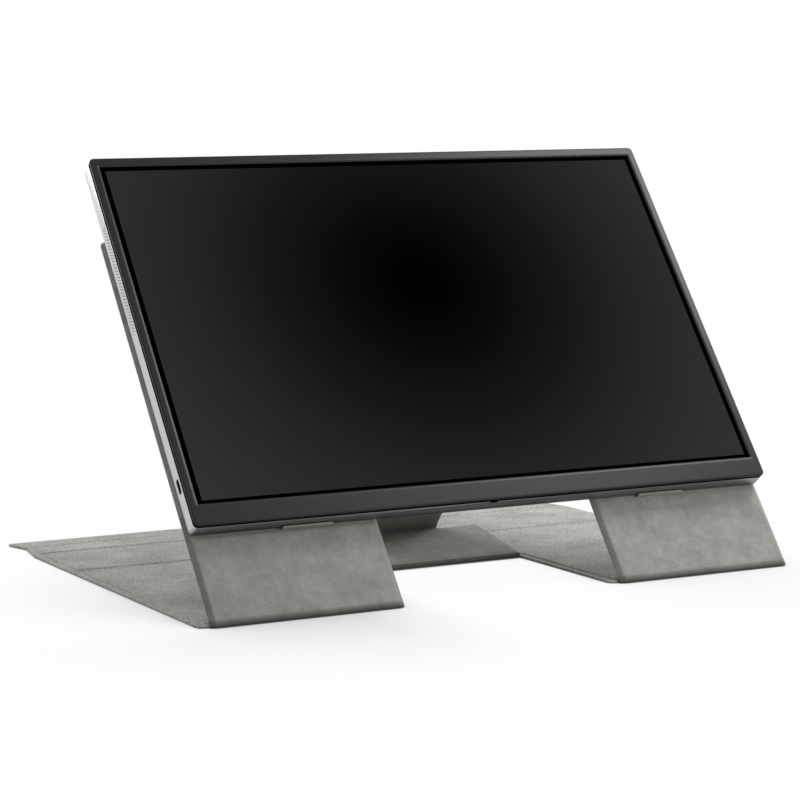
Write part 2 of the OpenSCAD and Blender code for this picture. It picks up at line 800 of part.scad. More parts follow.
strut_magnet = [16, 8];
module strut_magnet_flat() {
  for (x = [-1, 1])
    translate([x*strut_w/4 - strut_magnet[0]/2, strut_len - tongue_border - strut_magnet[1] - 2])
      square(strut_magnet);
}
module strut_magnets() {
  color(STEEL) on_strut() slab(-strut_board_top, strut_board_top) strut_magnet_flat();
}

// ---------- what is drawn ----------

rear_housing();
front_bezel();
display_panel();
optical_films();
light_guide();
led_strip();
panel_tray();
housing_screws();
driver_board();
port_board();
ribbon_cable();
display_flex();
left_usb_c_socket();
right_usb_c_socket();
mini_hdmi_socket();
audio_jack();
left_speaker();
right_speaker();
monitor_steel_plates();
status_light();
power_button();
menu_button();
support_outer_sheet();
support_board();
support_inner_sheet();
front_fold_roll();
ledge_tabs();
support_magnets();
catch_plate();
base_top_sheet();
base_board();
base_under_sheet();
rear_top_sheet();
rear_board();
rear_under_sheet();
spine_top_sheet();
spine_board();
spine_under_sheet();
flap_top_sheet();
flap_under_sheet();
flap_magnets();
tongue_top_sheet();
tongue_board();
tongue_under_sheet();
tongue_fold_roll();
strut_front_sheet();
strut_board();
strut_back_sheet();
crest_roll();
strut_magnets();
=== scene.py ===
"""Looks of a portable monitor that rests on its fold-out cover stand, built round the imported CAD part.

The tables and places below are in millimetres, as in the part's source. Every mesh is made in metres.
The cover's own lengths run from the front fold, where the support panel rises from the base sheet.
"""

import json
import math

import bmesh
import bpy
import numpy as np
from mathutils import Matrix, Vector
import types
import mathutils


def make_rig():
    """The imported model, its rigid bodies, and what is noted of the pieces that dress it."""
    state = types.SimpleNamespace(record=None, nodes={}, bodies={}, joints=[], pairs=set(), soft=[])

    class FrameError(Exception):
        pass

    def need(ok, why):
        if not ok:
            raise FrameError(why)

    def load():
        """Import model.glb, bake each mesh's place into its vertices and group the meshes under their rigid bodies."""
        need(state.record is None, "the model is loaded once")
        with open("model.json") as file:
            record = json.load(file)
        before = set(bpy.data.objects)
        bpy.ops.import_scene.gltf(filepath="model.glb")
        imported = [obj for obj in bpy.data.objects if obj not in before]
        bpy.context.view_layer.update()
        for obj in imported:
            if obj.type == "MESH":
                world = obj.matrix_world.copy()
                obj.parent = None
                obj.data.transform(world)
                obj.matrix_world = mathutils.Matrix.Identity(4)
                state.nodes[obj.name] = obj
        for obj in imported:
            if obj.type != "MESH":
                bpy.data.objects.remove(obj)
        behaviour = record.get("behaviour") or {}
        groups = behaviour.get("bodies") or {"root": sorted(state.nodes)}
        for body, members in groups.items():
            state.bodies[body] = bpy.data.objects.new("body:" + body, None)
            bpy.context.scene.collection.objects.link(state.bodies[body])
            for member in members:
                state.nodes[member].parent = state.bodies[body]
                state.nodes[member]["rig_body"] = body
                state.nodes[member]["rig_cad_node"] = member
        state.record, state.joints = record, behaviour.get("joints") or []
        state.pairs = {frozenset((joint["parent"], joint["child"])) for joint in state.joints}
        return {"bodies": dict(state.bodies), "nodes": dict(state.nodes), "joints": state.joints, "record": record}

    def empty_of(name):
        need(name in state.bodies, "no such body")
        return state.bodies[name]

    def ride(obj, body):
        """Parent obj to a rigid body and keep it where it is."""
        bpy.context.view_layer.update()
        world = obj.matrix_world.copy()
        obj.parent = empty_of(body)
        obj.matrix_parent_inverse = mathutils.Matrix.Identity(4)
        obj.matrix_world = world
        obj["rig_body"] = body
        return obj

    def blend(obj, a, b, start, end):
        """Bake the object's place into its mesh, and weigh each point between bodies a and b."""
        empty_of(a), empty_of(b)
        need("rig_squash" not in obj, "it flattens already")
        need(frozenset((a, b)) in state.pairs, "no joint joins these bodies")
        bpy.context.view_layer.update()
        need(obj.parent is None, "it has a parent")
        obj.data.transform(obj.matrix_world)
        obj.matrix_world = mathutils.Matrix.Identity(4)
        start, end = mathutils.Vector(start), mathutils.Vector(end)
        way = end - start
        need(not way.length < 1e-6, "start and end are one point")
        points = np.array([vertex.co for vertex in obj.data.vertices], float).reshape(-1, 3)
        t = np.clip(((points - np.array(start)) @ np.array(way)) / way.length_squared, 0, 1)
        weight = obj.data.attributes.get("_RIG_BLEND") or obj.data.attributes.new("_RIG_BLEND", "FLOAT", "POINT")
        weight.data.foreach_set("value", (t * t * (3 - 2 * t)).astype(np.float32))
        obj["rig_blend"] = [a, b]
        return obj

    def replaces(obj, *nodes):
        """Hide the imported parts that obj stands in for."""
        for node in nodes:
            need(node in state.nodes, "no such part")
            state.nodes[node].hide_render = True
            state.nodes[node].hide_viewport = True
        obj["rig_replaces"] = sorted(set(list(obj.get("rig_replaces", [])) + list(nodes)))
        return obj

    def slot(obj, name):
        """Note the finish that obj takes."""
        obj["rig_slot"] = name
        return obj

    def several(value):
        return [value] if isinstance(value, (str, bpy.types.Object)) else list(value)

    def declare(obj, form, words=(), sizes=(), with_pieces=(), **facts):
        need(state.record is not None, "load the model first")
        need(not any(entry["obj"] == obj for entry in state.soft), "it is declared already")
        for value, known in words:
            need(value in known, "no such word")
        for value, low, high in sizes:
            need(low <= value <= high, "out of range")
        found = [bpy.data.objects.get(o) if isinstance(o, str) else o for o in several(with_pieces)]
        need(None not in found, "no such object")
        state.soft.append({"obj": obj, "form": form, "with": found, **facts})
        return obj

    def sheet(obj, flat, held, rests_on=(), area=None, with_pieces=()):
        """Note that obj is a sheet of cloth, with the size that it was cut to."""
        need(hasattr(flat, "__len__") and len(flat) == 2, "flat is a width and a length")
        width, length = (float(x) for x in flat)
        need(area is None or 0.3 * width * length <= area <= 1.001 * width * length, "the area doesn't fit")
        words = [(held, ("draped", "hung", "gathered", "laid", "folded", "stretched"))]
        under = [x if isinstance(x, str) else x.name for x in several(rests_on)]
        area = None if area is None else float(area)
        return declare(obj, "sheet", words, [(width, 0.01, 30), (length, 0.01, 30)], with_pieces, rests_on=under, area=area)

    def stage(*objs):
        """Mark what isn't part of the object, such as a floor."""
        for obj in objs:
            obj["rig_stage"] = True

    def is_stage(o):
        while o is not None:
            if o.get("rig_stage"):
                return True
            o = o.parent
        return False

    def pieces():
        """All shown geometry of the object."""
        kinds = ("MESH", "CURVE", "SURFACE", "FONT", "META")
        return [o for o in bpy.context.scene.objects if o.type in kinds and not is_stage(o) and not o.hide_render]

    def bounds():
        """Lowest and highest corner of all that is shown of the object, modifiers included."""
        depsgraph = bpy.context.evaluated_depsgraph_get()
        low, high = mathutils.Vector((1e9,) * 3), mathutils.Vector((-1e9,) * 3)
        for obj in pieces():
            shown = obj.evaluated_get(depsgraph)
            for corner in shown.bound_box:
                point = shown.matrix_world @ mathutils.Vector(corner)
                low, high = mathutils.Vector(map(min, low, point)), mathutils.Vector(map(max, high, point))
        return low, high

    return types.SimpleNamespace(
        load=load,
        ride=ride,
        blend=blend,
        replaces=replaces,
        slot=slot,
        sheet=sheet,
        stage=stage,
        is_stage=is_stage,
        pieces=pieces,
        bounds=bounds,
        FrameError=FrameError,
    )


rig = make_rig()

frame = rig.load()
cad_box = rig.bounds()

MM = 0.001

# ---------- sizes that the CAD part gives ----------

CENTRE_Y = 155.2675  # from the front fold to the middle of the footprint
TILT = 52.6  # slope of the support panel
MONITOR_S = 54.2  # lower edge of the monitor along the panel
MON_W, MON_H = 360.2, 239.0
MON_FRONT = 12.6  # bezel front above the support panel
MON_BACK = 0.2  # its back above the support panel
SEAM_N = 10.1  # top of the housing, where the bezel begins
WALL = 1.2
CORNER_R = 3.0  # the monitor's corners
OPENING = (-175.1, 12.8, 175.1, 233.1)  # the bezel's opening: x, s of two corners
LIT_X, LIT_S = 172.1, (15.0, 230.1)  # the lit area: half width, lower and upper edge
PICTURE_S, PICTURE_REACH = 146.5, 260.0  # the dark picture's blackest place, and how far its grey reaches
GLASS_N = 12.0  # the display's face
PORT_N = 6.2  # middle of the sockets and buttons in the side walls
POWER_S, MENU_S = 96.0, 82.0  # the buttons' places up the right wall
BUTTON_LENGTH, BUTTON_WIDTH = 10.0, 2.6
WALL_SLOTS = (  # side, then place up and out, length and width
    (-1, (27.4, PORT_N, 9.2, 3.5)),
    (1, (27.4, PORT_N, 9.2, 3.5)),
    (1, (50.0, PORT_N, 11.3, 3.3)),
    (1, (POWER_S, PORT_N, BUTTON_LENGTH + 0.3, BUTTON_WIDTH + 0.3)),
    (1, (MENU_S, PORT_N, BUTTON_LENGTH + 0.3, BUTTON_WIDTH + 0.3)),
)
WALL_HOLES = ((68.0, 5.9, 1.9), (105.0, PORT_N, 0.6, 16))  # in the right wall: the jack and the status light
SCREW_IN, SCREW_UP, SCREW_R = 26.0, 20.0, 2.15  # the back's screw recesses: from the sides, from the ends
SOUND_S, SOUND_FIELD = 125.0, 73.1  # lowest of the sound holes, and the length of their field
SOUND_PITCH, SOUND_COLUMN, SOUND_D = 2.1, 1.5, 0.9

SUPPORT_X, SUPPORT_LEN, SUPPORT_T = 181.0, 246.0, 3.0
FOOT_IN, FOOT_GAP_LEN = 68.0, 66.0
FOLD_START = 6.0  # the panel's sheets begin here
HINGE_Y = 5.0
FOLD_R = 1.5  # the front fold's round

BASE_X = 187.0
BASE_START = 5.4  # the base sheet's front edge
CREASES = (192.0, 260.0, 289.0)  # rear, spine and flap crease
BACK_Y = 309.0
FLAP_X = 182.0  # half width at the closing flap's crease
CORNER_CUT = 7.0  # at the front corners of the base sheet
GAP_X, GAP_Y = 62.75, 109.5  # the cut-out that the tongue came from

TONGUE_X, TONGUE_Y, TONGUE_Z, TONGUE_RISE = 62.25, 107.5, 1.7, 10.4
TONGUE_START, TONGUE_LEN, TONGUE_ROLL = 1.8, 53.6, 1.6  # its sheets' two ends, and the round of its fold
CREST_Y, CREST_Z, STRUT_DIR = 161.908, 12.702, 130.0
STRUT_X, STRUT_START, STRUT_LEN = 35.0, 1.9, 118.34
SHEET = 0.4  # thickness of the cloth


# ---------- frames ----------


def turned(angle, y0, z0):
    """Frame that leans by angle about a line across the cover: u across, v up the slope, h out of it."""
    c, s = math.cos(math.radians(angle)), math.sin(math.radians(angle))

    def place(u, v, h):
        u, v, h = np.broadcast_arrays(*(np.asarray(a, float) for a in (u, v, h)))
        return np.stack([u, y0 + v * c - h * s - CENTRE_Y, z0 + v * s + h * c], -1) * MM

    return place


on_table = turned(0, 0, 0)
on_panel = turned(TILT, 0, 0)
on_tongue = turned(TONGUE_RISE, TONGUE_Y, TONGUE_Z)
on_strut = turned(STRUT_DIR, CREST_Y, CREST_Z)


def on_monitor(u, v, h):
    """A place with v from the monitor's lower edge and h from the support panel's face."""
    return on_panel(u, np.asarray(v, float) + MONITOR_S, h)


def side_view(place, v, h):
    """A point of one frame as (y, z) from the front fold, in millimetres."""
    p = place(0.0, v, h) / MM
    return (p[1] + CENTRE_Y, p[2])


def arc(centre, r, start, end, steps):
    """Points of a flat arc from one angle to another, in degrees."""
    angles = np.radians(np.linspace(start, end, steps))
    return [(centre[0] + r * math.cos(a), centre[1] + r * math.sin(a)) for a in angles]


# ---------- mesh code ----------


def make_object(name, points, faces, material, sharp=35):
    """Object with a mesh of these points and faces, smooth but for its sharp edges."""
    mesh = bpy.data.meshes.new(name)
    mesh.from_pydata([tuple(p) for p in points], [], [tuple(int(i) for i in f) for f in faces])
    mesh.validate()
    obj = bpy.data.objects.new(name, mesh)
    bpy.context.scene.collection.objects.link(obj)
    mesh.materials.append(material)
    shade(obj, sharp)
    return obj


def shade(obj, sharp=35):
    """Smooth shading that keeps edges sharper than this angle."""
    obj.data.polygons.foreach_set("use_smooth", [True] * len(obj.data.polygons))
    obj.data.set_sharp_from_angle(angle=math.radians(sharp))


def recalculate(obj, sharp=35):
    """Merges doubles and turns every face of a closed mesh outwards."""
    bm = bmesh.new()
    bm.from_mesh(obj.data)
    bmesh.ops.remove_doubles(bm, verts=bm.verts, dist=1e-7)
    bmesh.ops.recalc_face_normals(bm, faces=bm.faces)
    bm.to_mesh(obj.data)
    bm.free()
    shade(obj, sharp)


def loft(name, rings, material, closed=False, sharp=35):
    """Closed solid through rings of points with equal counts. closed joins the last ring to the first."""
    n = len(rings[0])
    points = np.concatenate(rings)
    faces = []
    for k in range(len(rings) if closed else len(rings) - 1):
        a, b = k * n, (k + 1) % len(rings) * n
        faces += [(a + i, a + (i + 1) % n, b + (i + 1) % n, b + i) for i in range(n)]
    if not closed:
        faces += [tuple(range(n))[::-1], tuple(range((len(rings) - 1) * n, len(rings) * n))]
    obj = make_object(name, points, faces, material)
    recalculate(obj, sharp)
    return obj


def round_rect(x0, y0, x1, y1, r, steps=8):
    """Outline of a rectangle with round corners, anticlockwise."""
    out = []
    corners = ((x1 - r, y1 - r), (x0 + r, y1 - r), (x0 + r, y0 + r), (x1 - r, y0 + r))
    for centre, start in zip(corners, (0, 90, 180, 270)):
        out += arc(centre, r, start, start + 90, steps + 1)
    return np.array(out)


def monitor_ring(inset, n):
    """Ring round the monitor, this far in from its outline and at this height above the support panel."""
    r = max(CORNER_R - inset, 0.4)
    flat = round_rect(-MON_W / 2 + inset, inset, MON_W / 2 - inset, MON_H - inset, r)
    return on_monitor(flat[:, 0], flat[:, 1], n)


def spaced(stops, step):
    """Places through every stop, with even steps no longer than step between them."""
    stops = sorted(set(round(s, 4) for s in stops))
    out = []
    for a, b in zip(stops, stops[1:]):
        n = max(1, math.ceil((b - a) / step - 1e-6))
        out += [a + (b - a) * i / n for i in range(n)]
    return np.array(out + [stops[-1]])


def sheet_mesh(name, us, vs, inside, shape, top, under, place, material):
    """Closed thin solid over a grid of lines us and vs. inside(u, v) says which cells are cloth, shape(u, v)
    rounds corners and tapers, and top(u, v) and under(u, v) are the heights of its two faces."""
    u, v = np.meshgrid(us, vs, indexing="ij")
    kept = inside((u[1:, 1:] + u[:-1, :-1]) / 2, (v[1:, 1:] + v[:-1, :-1]) / 2)
    su, sv = shape(u, v)
    upper = place(su, sv, top(u, v)).reshape(-1, 3)
    lower = place(su, sv, under(u, v)).reshape(-1, 3)
    count, cols = len(upper), len(vs)
    faces = []

    def corner(i, j):
        return i * cols + j

    padded_cells = np.pad(kept, 1)
    for i, j in np.argwhere(kept):
        a, b, c, d = corner(i, j), corner(i + 1, j), corner(i + 1, j + 1), corner(i, j + 1)
        faces.append((a, b, c, d))
        faces.append((d + count, c + count, b + count, a + count))
        if not padded_cells[i, j + 1]:
            faces.append((a, d, d + count, a + count))
        if not padded_cells[i + 2, j + 1]:
            faces.append((c, b, b + count, c + count))
        if not padded_cells[i + 1, j]:
            faces.append((b, a, a + count, b + count))
        if not padded_cells[i + 1, j + 2]:
            faces.append((d, c, c + count, d + count))
    faces = np.array(faces)
    used, faces = np.unique(faces, return_inverse=True)
    points = np.concatenate([upper, lower])[used]
    return make_object(name, points, faces.reshape(-1, 4), material, sharp=50)


def round_corner(u, v, at, r, chamfer=False):
    """Draws a square corner of the grid in to a round or cut one. at is the corner's place, and the signs of
    the ways out of the sheet there, across it and along it."""
    cu, cv, side_u, side_v = at
    du, dv = (cu - u) * side_u, (cv - v) * side_v
    near = (du < r) & (dv < r) & (du > -1e-6) & (dv > -1e-6)
    a, b = np.where(near, r - du, 1.0), np.where(near, r - dv, 1.0)
    scale = np.maximum(a, b) / (a + b if chamfer else np.hypot(a, b))
    return (
        np.where(near, cu - side_u * (r - a * scale), u),
        np.where(near, cv - side_v * (r - b * scale), v),
    )


def swept(name, path, xs, material):
    """Closed side view path, as (y, z) from the front fold, drawn across from the first to the last of xs."""
    flat = np.array(path)
    middle = flat.mean(0)
    rings = []
    for k, x in enumerate(xs):
        ease = 0.94 if k in (0, len(xs) - 1) else 1.0  # the ends draw in a little, as a cut fold does
        p = middle + (flat - middle) * ease
        rings.append(on_table(x, p[:, 0], p[:, 1]))
    return loft(name, rings, material, sharp=40)


# ---------- materials ----------


def linear(code):
    """Linear colour with alpha 1 from an sRGB hex value."""
    parts = [int(code[i : i + 2], 16) / 255 for i in (0, 2, 4)]
    return tuple(c / 12.92 if c <= 0.04045 else ((c + 0.055) / 1.055) ** 2.4 for c in parts) + (1.0,)


def add(tree, kind, inputs=None, stops=(), **settings):
    """Adds one node. An input given as a node or a socket is linked, and any other is set. stops are a colour
    ramp's pairs of place and sRGB hex value."""
    made = tree.nodes.new(kind)
    for key, value in settings.items():
        setattr(made, key, value)
    for key, value in (inputs or {}).items():
        if isinstance(value, bpy.types.Node):
            value = value.outputs[0]
        if isinstance(value, bpy.types.NodeSocket):
            tree.links.new(value, made.inputs[key])
        else:
            made.inputs[key].default_value = value
    if stops:
        elements = made.color_ramp.elements
        while len(elements) < len(stops):
            elements.new(0.5)
        for element, (at, code) in zip(elements, stops):
            element.position = at
            element.color = linear(code)
    return made


def empty_material(name):
    """A new material with its empty tree, and the Object coordinates in it."""
    made = bpy.data.materials.new(name)
    made.use_nodes = True
    tree = made.node_tree
    tree.nodes.clear()
    return made, tree, add(tree, "ShaderNodeTexCoord").outputs["Object"]


def surface(tree, sockets):
    """Ends a material's tree with its one shader."""
    add(tree, "ShaderNodeOutputMaterial", {"Surface": add(tree, "ShaderNodeBsdfPrincipled", sockets)})


def patches(place, size_mm, detail=2.0, rough=0.6):
    """Inputs of a noise whose patches are about this long."""
    return {"Vector": place, "Scale": 1 / (size_mm * MM), "Detail": detail, "Roughness": rough}


def summed(tree, *patterns):
    """Sum of patterns, each times its share."""
    total = 0.0
    for pattern, share in patterns:
        total = add(tree, "ShaderNodeMath", {0: pattern, 1: share, 2: total}, operation="MULTIPLY_ADD")
    return total


def painted_recess_shade(tree, colour, reach_mm, closed, free, least):
    """The colour with painted shade: darker where other faces stand closer than reach_mm. closed and free are
    the open shares of sky at which it is darkest and at which it is itself, and least is what is left of
    it at the darkest."""
    sky = add(tree, "ShaderNodeAmbientOcclusion", {"Distance": reach_mm * MM}, samples=8).outputs["AO"]
    span = {"Value": sky, "From Min": closed, "From Max": free, "To Min": least, "To Max": 1.0}
    left = add(tree, "ShaderNodeMapRange", span)
    return add(tree, "ShaderNodeVectorMath", {0: colour, "Scale": left}, operation="SCALE")


def suede(name, shade_reach_mm=0):
    # Microfibre suede, brushed: matt, with cloudy patches where the nap lies the other way, and painted
    # shade along its folds and on the slopes of the feet's sides. Given a reach in millimetres, it also
    # gets painted shade deep in the prop's folds.
    made, tree, place = empty_material(name)
    cloud = add(tree, "ShaderNodeTexNoise", patches(place, 17, 2.5))
    nap = add(tree, "ShaderNodeTexNoise", patches(place, 5, 4.0, 0.62))
    grain = add(tree, "ShaderNodeTexNoise", patches(place, 0.9))
    tone = summed(tree, (cloud, 0.4), (nap, 0.33), (grain, 0.27))
    shades = ((0.36, "888982"), (0.5, "989992"), (0.64, "A6A7A0"))
    colour = add(tree, "ShaderNodeValToRGB", {"Fac": tone}, shades)
    # The pressed attribute holds painted shade: darker along folds and on the slopes of the feet's sides.
    pressed = add(tree, "ShaderNodeAttribute", attribute_name="pressed").outputs["Fac"]
    kept = add(tree, "ShaderNodeMapRange", {"Value": pressed, "To Min": 1.0, "To Max": 0.12})
    colour = add(tree, "ShaderNodeVectorMath", {0: colour, "Scale": kept}, operation="SCALE")
    if shade_reach_mm:
        colour = painted_recess_shade(tree, colour, shade_reach_mm, 0.15, 0.6, 0.2)
    height = summed(tree, (grain, 0.7), (nap, 0.6))
    relief = add(tree, "ShaderNodeBump", {"Height": height, "Distance": 0.12 * MM, "Strength": 0.45})
    surface(tree, {
        "Base Color": colour, "Roughness": 0.92, "Normal": relief, "Specular IOR Level": 0.25,
        "Sheen Weight": 0.12, "Sheen Roughness": 0.5,
    })
    return made


def felt():
    # Polyester felt, needled: matt, with a heather of light and dark fibres. Fibres are about 0.02 mm,
    # too fine to show, so tufts of about a millimetre stand for them.
    made, tree, place = empty_material("Polyester felt, needled")
    along = add(tree, "ShaderNodeMapping", {"Vector": place, "Scale": (1.0, 0.35, 1.0)})
    tuft = add(tree, "ShaderNodeTexNoise", patches(place, 1.1, 3.0, 0.7))
    thread = add(tree, "ShaderNodeTexNoise", patches(along, 0.8))
    cloud = add(tree, "ShaderNodeTexNoise", patches(place, 34, 2.0, 0.5))
    tone = summed(tree, (tuft, 0.45), (thread, 0.35), (cloud, 0.2))
    shades = ((0.36, "6E6F6A"), (0.5, "A0A19C"), (0.64, "D0D1CC"))
    colour = add(tree, "ShaderNodeValToRGB", {"Fac": tone}, shades)
    relief = add(tree, "ShaderNodeBump", {"Height": tone, "Distance": 0.25 * MM, "Strength": 0.6})
    surface(tree, {
        "Base Color": colour, "Roughness": 0.95, "Normal": relief, "Specular IOR Level": 0.2,
        "Sheen Weight": 0.1, "Sheen Roughness": 0.6,
    })
    return made


def anodised():
    # Aluminium, bead blasted and anodised silver: satin metal, with no direction to its grain. Painted shade
    # makes it dark in narrow mouths, and darker on the underside, where the cover stands close.
    made, tree, place = empty_material("Aluminium, blasted and anodised")
    grit = add(tree, "ShaderNodeTexNoise", patches(place, 0.35))
    colour = add(tree, "ShaderNodeValToRGB", {"Fac": grit}, ((0.3, "B8B9BB"), (0.7, "C4C5C6")))
    colour = painted_recess_shade(tree, colour, 1.4, 0.5, 0.85, 0.01)
    colour = painted_recess_shade(tree, colour, 55, 0.3, 0.95, 0.12)
    rough = add(tree, "ShaderNodeMapRange", {"Value": grit, "To Min": 0.3, "To Max": 0.42})
    relief = add(tree, "ShaderNodeBump", {"Height": grit, "Distance": 0.01 * MM, "Strength": 0.3})
    surface(tree, {"Base Color": colour, "Roughness": rough, "Metallic": 1.0, "Normal": relief})
    return made


def bezel_plastic():
    # ABS, moulded with a fine satin grain and tinted dark grey. Painted shade makes it black inside the seam and
    # darker in other narrow hollows.
    made, tree, place = empty_material("ABS, moulded dark grey")
    grain = add(tree, "ShaderNodeTexNoise", patches(place, 0.5))
    colour = add(tree, "ShaderNodeValToRGB", {"Fac": grain}, ((0.3, "151416"), (0.7, "19181A")))
    colour = painted_recess_shade(tree, colour, 1.6, 0.35, 0.75, 0.02)
    relief = add(tree, "ShaderNodeBump", {"Height": grain, "Distance": 0.015 * MM, "Strength": 0.35})
    surface(tree, {"Base Color": colour, "Roughness": 0.38, "Normal": relief, "Specular IOR Level": 0.22})
    return made


def lit_display():
    # Anti-glare coated display glass. Round the lit area the glass is black inside, and the area itself
    # shows a plain dark picture: black in the middle and grey towards the corners.
    made, tree, place = empty_material("Display glass, anti-glare coated")
    middle, reach = on_monitor(0.0, PICTURE_S, GLASS_N), PICTURE_REACH * MM
    away = add(tree, "ShaderNodeVectorMath", {0: place, 1: tuple(middle)}, operation="DISTANCE")
    share = add(tree, "ShaderNodeMath", {0: away.outputs["Value"], 1: reach}, operation="DIVIDE")
    picture = add(tree, "ShaderNodeValToRGB", {"Fac": share}, (
        (0.0, "010101"), (0.06, "020202"), (0.185, "090909"), (0.37, "171717"),
        (0.554, "252525"), (0.7, "2D2D2D"), (0.8, "313131"), (1.0, "353535"),
    ))
    at = add(tree, "ShaderNodeSeparateXYZ", {0: place}).outputs
    aside = add(tree, "ShaderNodeMath", {0: at["X"]}, operation="ABSOLUTE")
    low, high = (float(on_monitor(0.0, s, GLASS_N)[2]) for s in LIT_S)
    lit = 1.0
    for value, test, limit in (
        (aside, "LESS_THAN", LIT_X * MM), (at["Z"], "GREATER_THAN", low), (at["Z"], "LESS_THAN", high),
    ):
        inside = add(tree, "ShaderNodeMath", {0: value, 1: limit}, operation=test)
        lit = add(tree, "ShaderNodeMath", {0: inside, 1: lit}, operation="MULTIPLY")
    shown = add(tree, "ShaderNodeVectorMath", {0: picture, "Scale": lit}, operation="SCALE")
    surface(tree, {
        "Base Color": linear("010101"), "Roughness": 0.5, "Specular IOR Level": 0.0,
        "Emission Color": shown, "Emission Strength": 1.0,
    })
    return made


def plain(name, low, high, roughness, metallic=0.0, grain_mm=0.8, depth_mm=0.02, deep=False, shine=0.5):
    """A finish with a slight grain from low to high in colour, and in relief. deep paints shade into a narrow mouth.
    """
    made, tree, place = empty_material(name)
    grain = add(tree, "ShaderNodeTexNoise", patches(place, grain_mm))
    colour = add(tree, "ShaderNodeValToRGB", {"Fac": grain}, ((0.3, low), (0.7, high)))
    if deep:
        colour = painted_recess_shade(tree, colour, 3.0, 0.5, 0.9, 0.01)
    relief = add(tree, "ShaderNodeBump", {"Height": grain, "Distance": depth_mm * MM, "Strength": 0.3})
    surface(tree, {
        "Base Color": colour, "Roughness": roughness, "Metallic": metallic, "Normal": relief,
        "Specular IOR Level": shine,
    })
    return made


SUEDE = suede("Microfibre suede, brushed")
# Suede with painted shade deep in the prop's folds, for the tongue, the strut and their crest.
SHADED_PROP_SUEDE = suede("Microfibre suede, brushed, with painted fold shade", 45)
FELT, SILVER, BEZEL, DISPLAY = felt(), anodised(), bezel_plastic(), lit_display()
# Painted seam shade: a black sheet without any shine that stands for the shade in the groove round the bezel.
SEAM_SHADE = plain("Painted seam shade, black", "020202", "040404", 0.95, shine=0.05)
# Greyboard, pressed: a dry matt board with darker fibres.
BOARD = plain("Greyboard, pressed", "A2977E", "B3A88F", 0.9, grain_mm=1.5, depth_mm=0.05)
# Low carbon steel, rolled and zinc plated: a soft grey metal.
STEEL = plain("Steel sheet, rolled and plated", "96999D", "A5A8AC", 0.38, 1.0)
# Steel, cold headed and nickel plated: a little brighter than the sheet.
SCREW = plain("Steel, cold headed and nickel plated", "A3A5A8", "B4B6B8", 0.3, 1.0)
# Neodymium magnet, sintered and nickel plated: a slightly warm, bright metal.
MAGNET = plain("Neodymium, nickel plated", "99978F", "A9A79F", 0.28, 1.0)
# Epoxy glass board under solder mask: an even green with a half shine.
MASK = plain("Epoxy board, solder masked", "184A2F", "1F5A3A", 0.45, grain_mm=2.5)
# Polyester flat cable, laminated: pale and smooth.
RIBBON = plain("Polyester flat cable, laminated", "CBC7B0", "DAD6BF", 0.5)
# Polyimide film over copper, laminated: amber, with the copper's warmth.
AMBER = plain("Polyimide film, laminated", "A36E2E", "B87E38", 0.4)
# Acrylic light guide, moulded clear: glossy, with the pale blue of a thick edge.
ACRYLIC = plain("Acrylic, moulded clear", "D2E4EC", "DCECF2", 0.15, depth_mm=0.005)
# Polyester diffuser film, embossed: a dull white.
FILM = plain("Polyester diffuser film, embossed", "E2E3E5", "EBECEE", 0.6, grain_mm=0.5)
# Lamp packages of moulded silicone: cream coloured.
LAMPS = plain("Lamp packages, moulded silicone", "DDD5AC", "EDE6C0", 0.4)
# Stainless steel, stamped into socket shells: bright, with painted shade that makes it black inside its mouth.
SOCKET = plain("Stainless steel, stamped", "A9ABAE", "B9BBBE", 0.25, 1.0, depth_mm=0.01, deep=True)
# ABS, moulded black, of the speakers and the jack: dull.
BLACK = plain("ABS, moulded black", "101012", "17171A", 0.55)
# Polycarbonate, moulded clear, of the status light's lens: glossy.
LENS = plain("Polycarbonate, moulded clear", "DCE6EC", "E6EEF2", 0.12, depth_mm=0.004)
# ABS, moulded light grey, of the ledge tabs: satin, with a fine grain.
LEDGE = plain("ABS, moulded light grey", "888985", "8F908C", 0.55, grain_mm=0.6)

NODE_FINISH = {
    "rear_housing": SILVER, "front_bezel": BEZEL, "display_panel": DISPLAY, "optical_films": FILM,
    "light_guide": ACRYLIC, "led_strip": LAMPS, "panel_tray": STEEL, "housing_screws": SCREW,
    "driver_board": MASK, "port_board": MASK, "ribbon_cable": RIBBON, "display_flex": AMBER,
    "left_usb_c_socket": SOCKET, "right_usb_c_socket": SOCKET, "mini_hdmi_socket": SOCKET,
    "audio_jack": BLACK, "left_speaker": BLACK, "right_speaker": BLACK, "monitor_steel_plates": STEEL,
    "status_light": LENS, "power_button": SILVER, "menu_button": SILVER, "support_magnets": MAGNET,
    "catch_plate": STEEL, "flap_magnets": MAGNET, "strut_magnets": MAGNET, "ledge_tabs": LEDGE,
}
FELT_NODES = (
    "support_outer_sheet", "tongue_under_sheet", "strut_back_sheet", "base_top_sheet", "rear_top_sheet",
    "spine_top_sheet", "flap_top_sheet",
)
for node_name, node_object in frame["nodes"].items():
    usual = BOARD if node_name.endswith("_board") else FELT if node_name in FELT_NODES else SUEDE
    node_object.data.materials.clear()
    node_object.data.materials.append(NODE_FINISH.get(node_name, usual))


# ---------- monitor ----------


def quarter(inset0, n0, inset1, n1, steps):
    """Rings of a rounded edge between two rings, which leaves the first in that ring's own direction."""
    out = []
    for i in range(1, steps):
        a = math.pi / 2 * i / steps
        out.append((inset0 + (inset1 - inset0) * (1 - math.cos(a)), n0 + (n1 - n0) * math.sin(a)))
    return out


def slot_outline(s, n, length, width):
    """Slot with round ends on a side wall, as (s, n)."""
    r = width / 2
    reach = length / 2 - r
    return np.array(arc((s + reach, n), r, -90, 90, 9) + arc((s - reach, n), r, 90, 270, 9))


def circle_outline(s, n, r, steps=24):
    """Circle of this radius, as (s, n) on a side wall or (x, s) on the back."""
    a = np.arange(steps) * 2 * math.pi / steps
    return np.stack([s + r * np.cos(a), n + r * np.sin(a)], -1)


